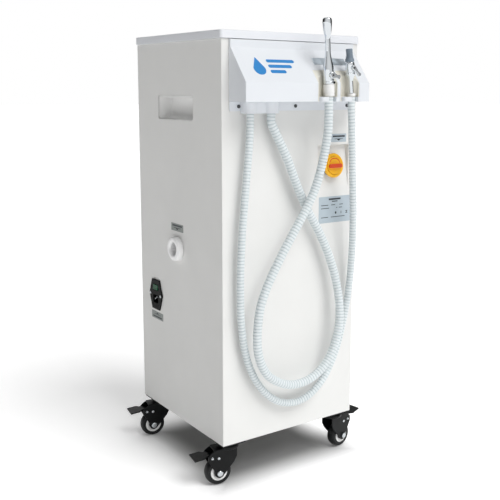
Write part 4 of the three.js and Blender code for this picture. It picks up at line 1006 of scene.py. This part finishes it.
# ---------------- floor and light
def paper_with_painted_shadow():
    """White studio paper that glows evenly from below, as a light table does, with a painted shadow: in a soft patch
    under the unit its colour darkens and its glow fades.
    """
    paper = finish("white_paper_with_painted_shadow", "#ffffff", "#fbfbfb", 0.9, 5, 0, gloss=0.0)
    tree = paper.node_tree
    shader = tree.nodes["Principled BSDF"]
    place = add_node(tree, "ShaderNodeTexCoord").outputs["Object"]
    centred = add_node(tree, "ShaderNodeVectorMath", {0: place, 1: (PLAN_X, PLAN_Y, 0)}, operation="SUBTRACT")
    apart = add_node(tree, "ShaderNodeVectorMath", {0: centred.outputs["Vector"]}, operation="ABSOLUTE")
    beyond = add_node(tree, "ShaderNodeVectorMath", {
        0: apart.outputs["Vector"], 1: (HALF_W / 1000, HALF_D / 1000, 0),
    }, operation="SUBTRACT")
    split = add_node(tree, "ShaderNodeSeparateXYZ", {"Vector": beyond.outputs["Vector"]})
    reach = add_node(tree, "ShaderNodeMath", {0: split.outputs["X"], 1: split.outputs["Y"]}, operation="MAXIMUM")
    # The glow fades to nothing under the unit, as part of the painted shadow.
    glow_with_painted_shadow = add_node(tree, "ShaderNodeMapRange", {
        "Value": reach.outputs[0], "From Min": -0.05, "From Max": 0.06, "To Min": 0.0, "To Max": 0.26,
    }, interpolation_type="SMOOTHSTEP")
    # Painted shadow: the paper's colour darkens to 0.3 in a soft patch under the unit.
    painted_shadow_tone = add_node(tree, "ShaderNodeMapRange", {
        "Value": reach.outputs[0], "From Min": -0.06, "From Max": 0.03, "To Min": 0.3, "To Max": 1.0,
    }, interpolation_type="SMOOTHSTEP")
    tree.links.new(painted_shadow_tone.outputs["Result"], shader.inputs["Base Color"])
    tree.links.new(glow_with_painted_shadow.outputs["Result"], shader.inputs["Emission Strength"])
    shader.inputs["Emission Color"].default_value = (1, 1, 1, 1)
    return paper


def wall_ramp(tree, around, stops):
    """The light of the walls: a value at each share of the way round the room."""
    node = add_node(tree, "ShaderNodeValToRGB", {"Fac": around})
    ramp = node.color_ramp
    ramp.interpolation = "EASE"
    while len(ramp.elements) > 1:
        ramp.elements.remove(ramp.elements[-1])
    ramp.elements[0].position, ramp.elements[0].color = stops[0][0], (stops[0][1],) * 3 + (1,)
    for at, value in stops[1:]:
        ramp.elements.new(at).color = (value, value, value, 1)
    return node.outputs["Color"]


def room():
    size = 30.0
    floor = bpy.data.meshes.new("floor")
    floor.from_pydata([(-size, -size, 0), (size, -size, 0), (size, size, 0), (-size, size, 0)], [], [(0, 1, 2, 3)])
    ground = bpy.data.objects.new("floor", floor)
    scene.collection.objects.link(ground)
    floor.materials.append(paper_with_painted_shadow())

    world = bpy.data.worlds.new("studio")
    scene.world = world
    world.use_nodes = True
    tree = world.node_tree
    tree.nodes.clear()
    place = add_node(tree, "ShaderNodeTexCoord").outputs["Generated"]
    split = add_node(tree, "ShaderNodeSeparateXYZ", {"Vector": place})
    azimuth = add_node(tree, "ShaderNodeMath", {0: split.outputs["Y"], 1: split.outputs["X"]}, operation="ARCTAN2")
    share = add_node(tree, "ShaderNodeMapRange", {
        "Value": azimuth.outputs[0], "From Min": -pi, "From Max": pi,
    })
    around = share.outputs["Result"]
    walls = wall_ramp(tree, around, [
        (0.0, 0.0), (0.14, 0.0), (0.205, 1.0), (0.345, 0.9), (0.395, 0.02), (0.465, 0.02),
        (0.52, 0.8), (0.66, 0.9), (0.74, 0.5), (0.80, 0.02), (1.0, 0.0),
    ])
    # What polished metal mirrors: white cards on both sides of the camera between black flags.
    cards = wall_ramp(tree, around, [
        (0.0, 0.5), (0.05, 0.8), (0.13, 1.0), (0.25, 1.0), (0.33, 0.9), (0.37, 0.5), (0.42, 0.02), (0.52, 0.02),
        (0.57, 0.7), (0.73, 0.8), (0.78, 0.02), (0.92, 0.02), (1.0, 0.5),
    ])
    overhead = add_node(tree, "ShaderNodeMapRange", {
        "Value": split.outputs["Z"], "From Min": 0.7, "From Max": 0.95,
    }, interpolation_type="SMOOTHSTEP")
    path = add_node(tree, "ShaderNodeLightPath")
    sides = add_node(tree, "ShaderNodeMix", {0: path.outputs["Is Glossy Ray"], 6: walls, 7: cards}, data_type="RGBA")
    ceiling = add_node(tree, "ShaderNodeMix", {
        0: overhead.outputs["Result"], 6: sides.outputs[2], 7: (0.75, 0.75, 0.75, 1),
    }, data_type="RGBA")
    soft = add_node(tree, "ShaderNodeBackground", {"Color": ceiling.outputs[2], "Strength": 0.85})
    white = add_node(tree, "ShaderNodeBackground", {"Color": (1, 1, 1, 1), "Strength": 1.0})
    mix = add_node(tree, "ShaderNodeMixShader", {
        0: path.outputs["Is Camera Ray"], 1: soft.outputs["Background"], 2: white.outputs["Background"],
    })
    add_node(tree, "ShaderNodeOutputWorld", {"Surface": mix.outputs["Shader"]})

    key = bpy.data.lights.new("key", "SUN")
    key.energy, key.angle = 1.8, radians(34)
    light = bpy.data.objects.new("key", key)
    light.rotation_euler = Vector((-0.09, 0.30, -0.42)).to_track_quat("-Z", "Y").to_euler()
    scene.collection.objects.link(light)
    scene.view_settings.view_transform = "Standard"
    scene.view_settings.look = "None"


handpieces()
cabinet()
console()
main_switch()
stickers()
left_side()
for corner in CASTERS:
    caster(corner)
inside()
room()
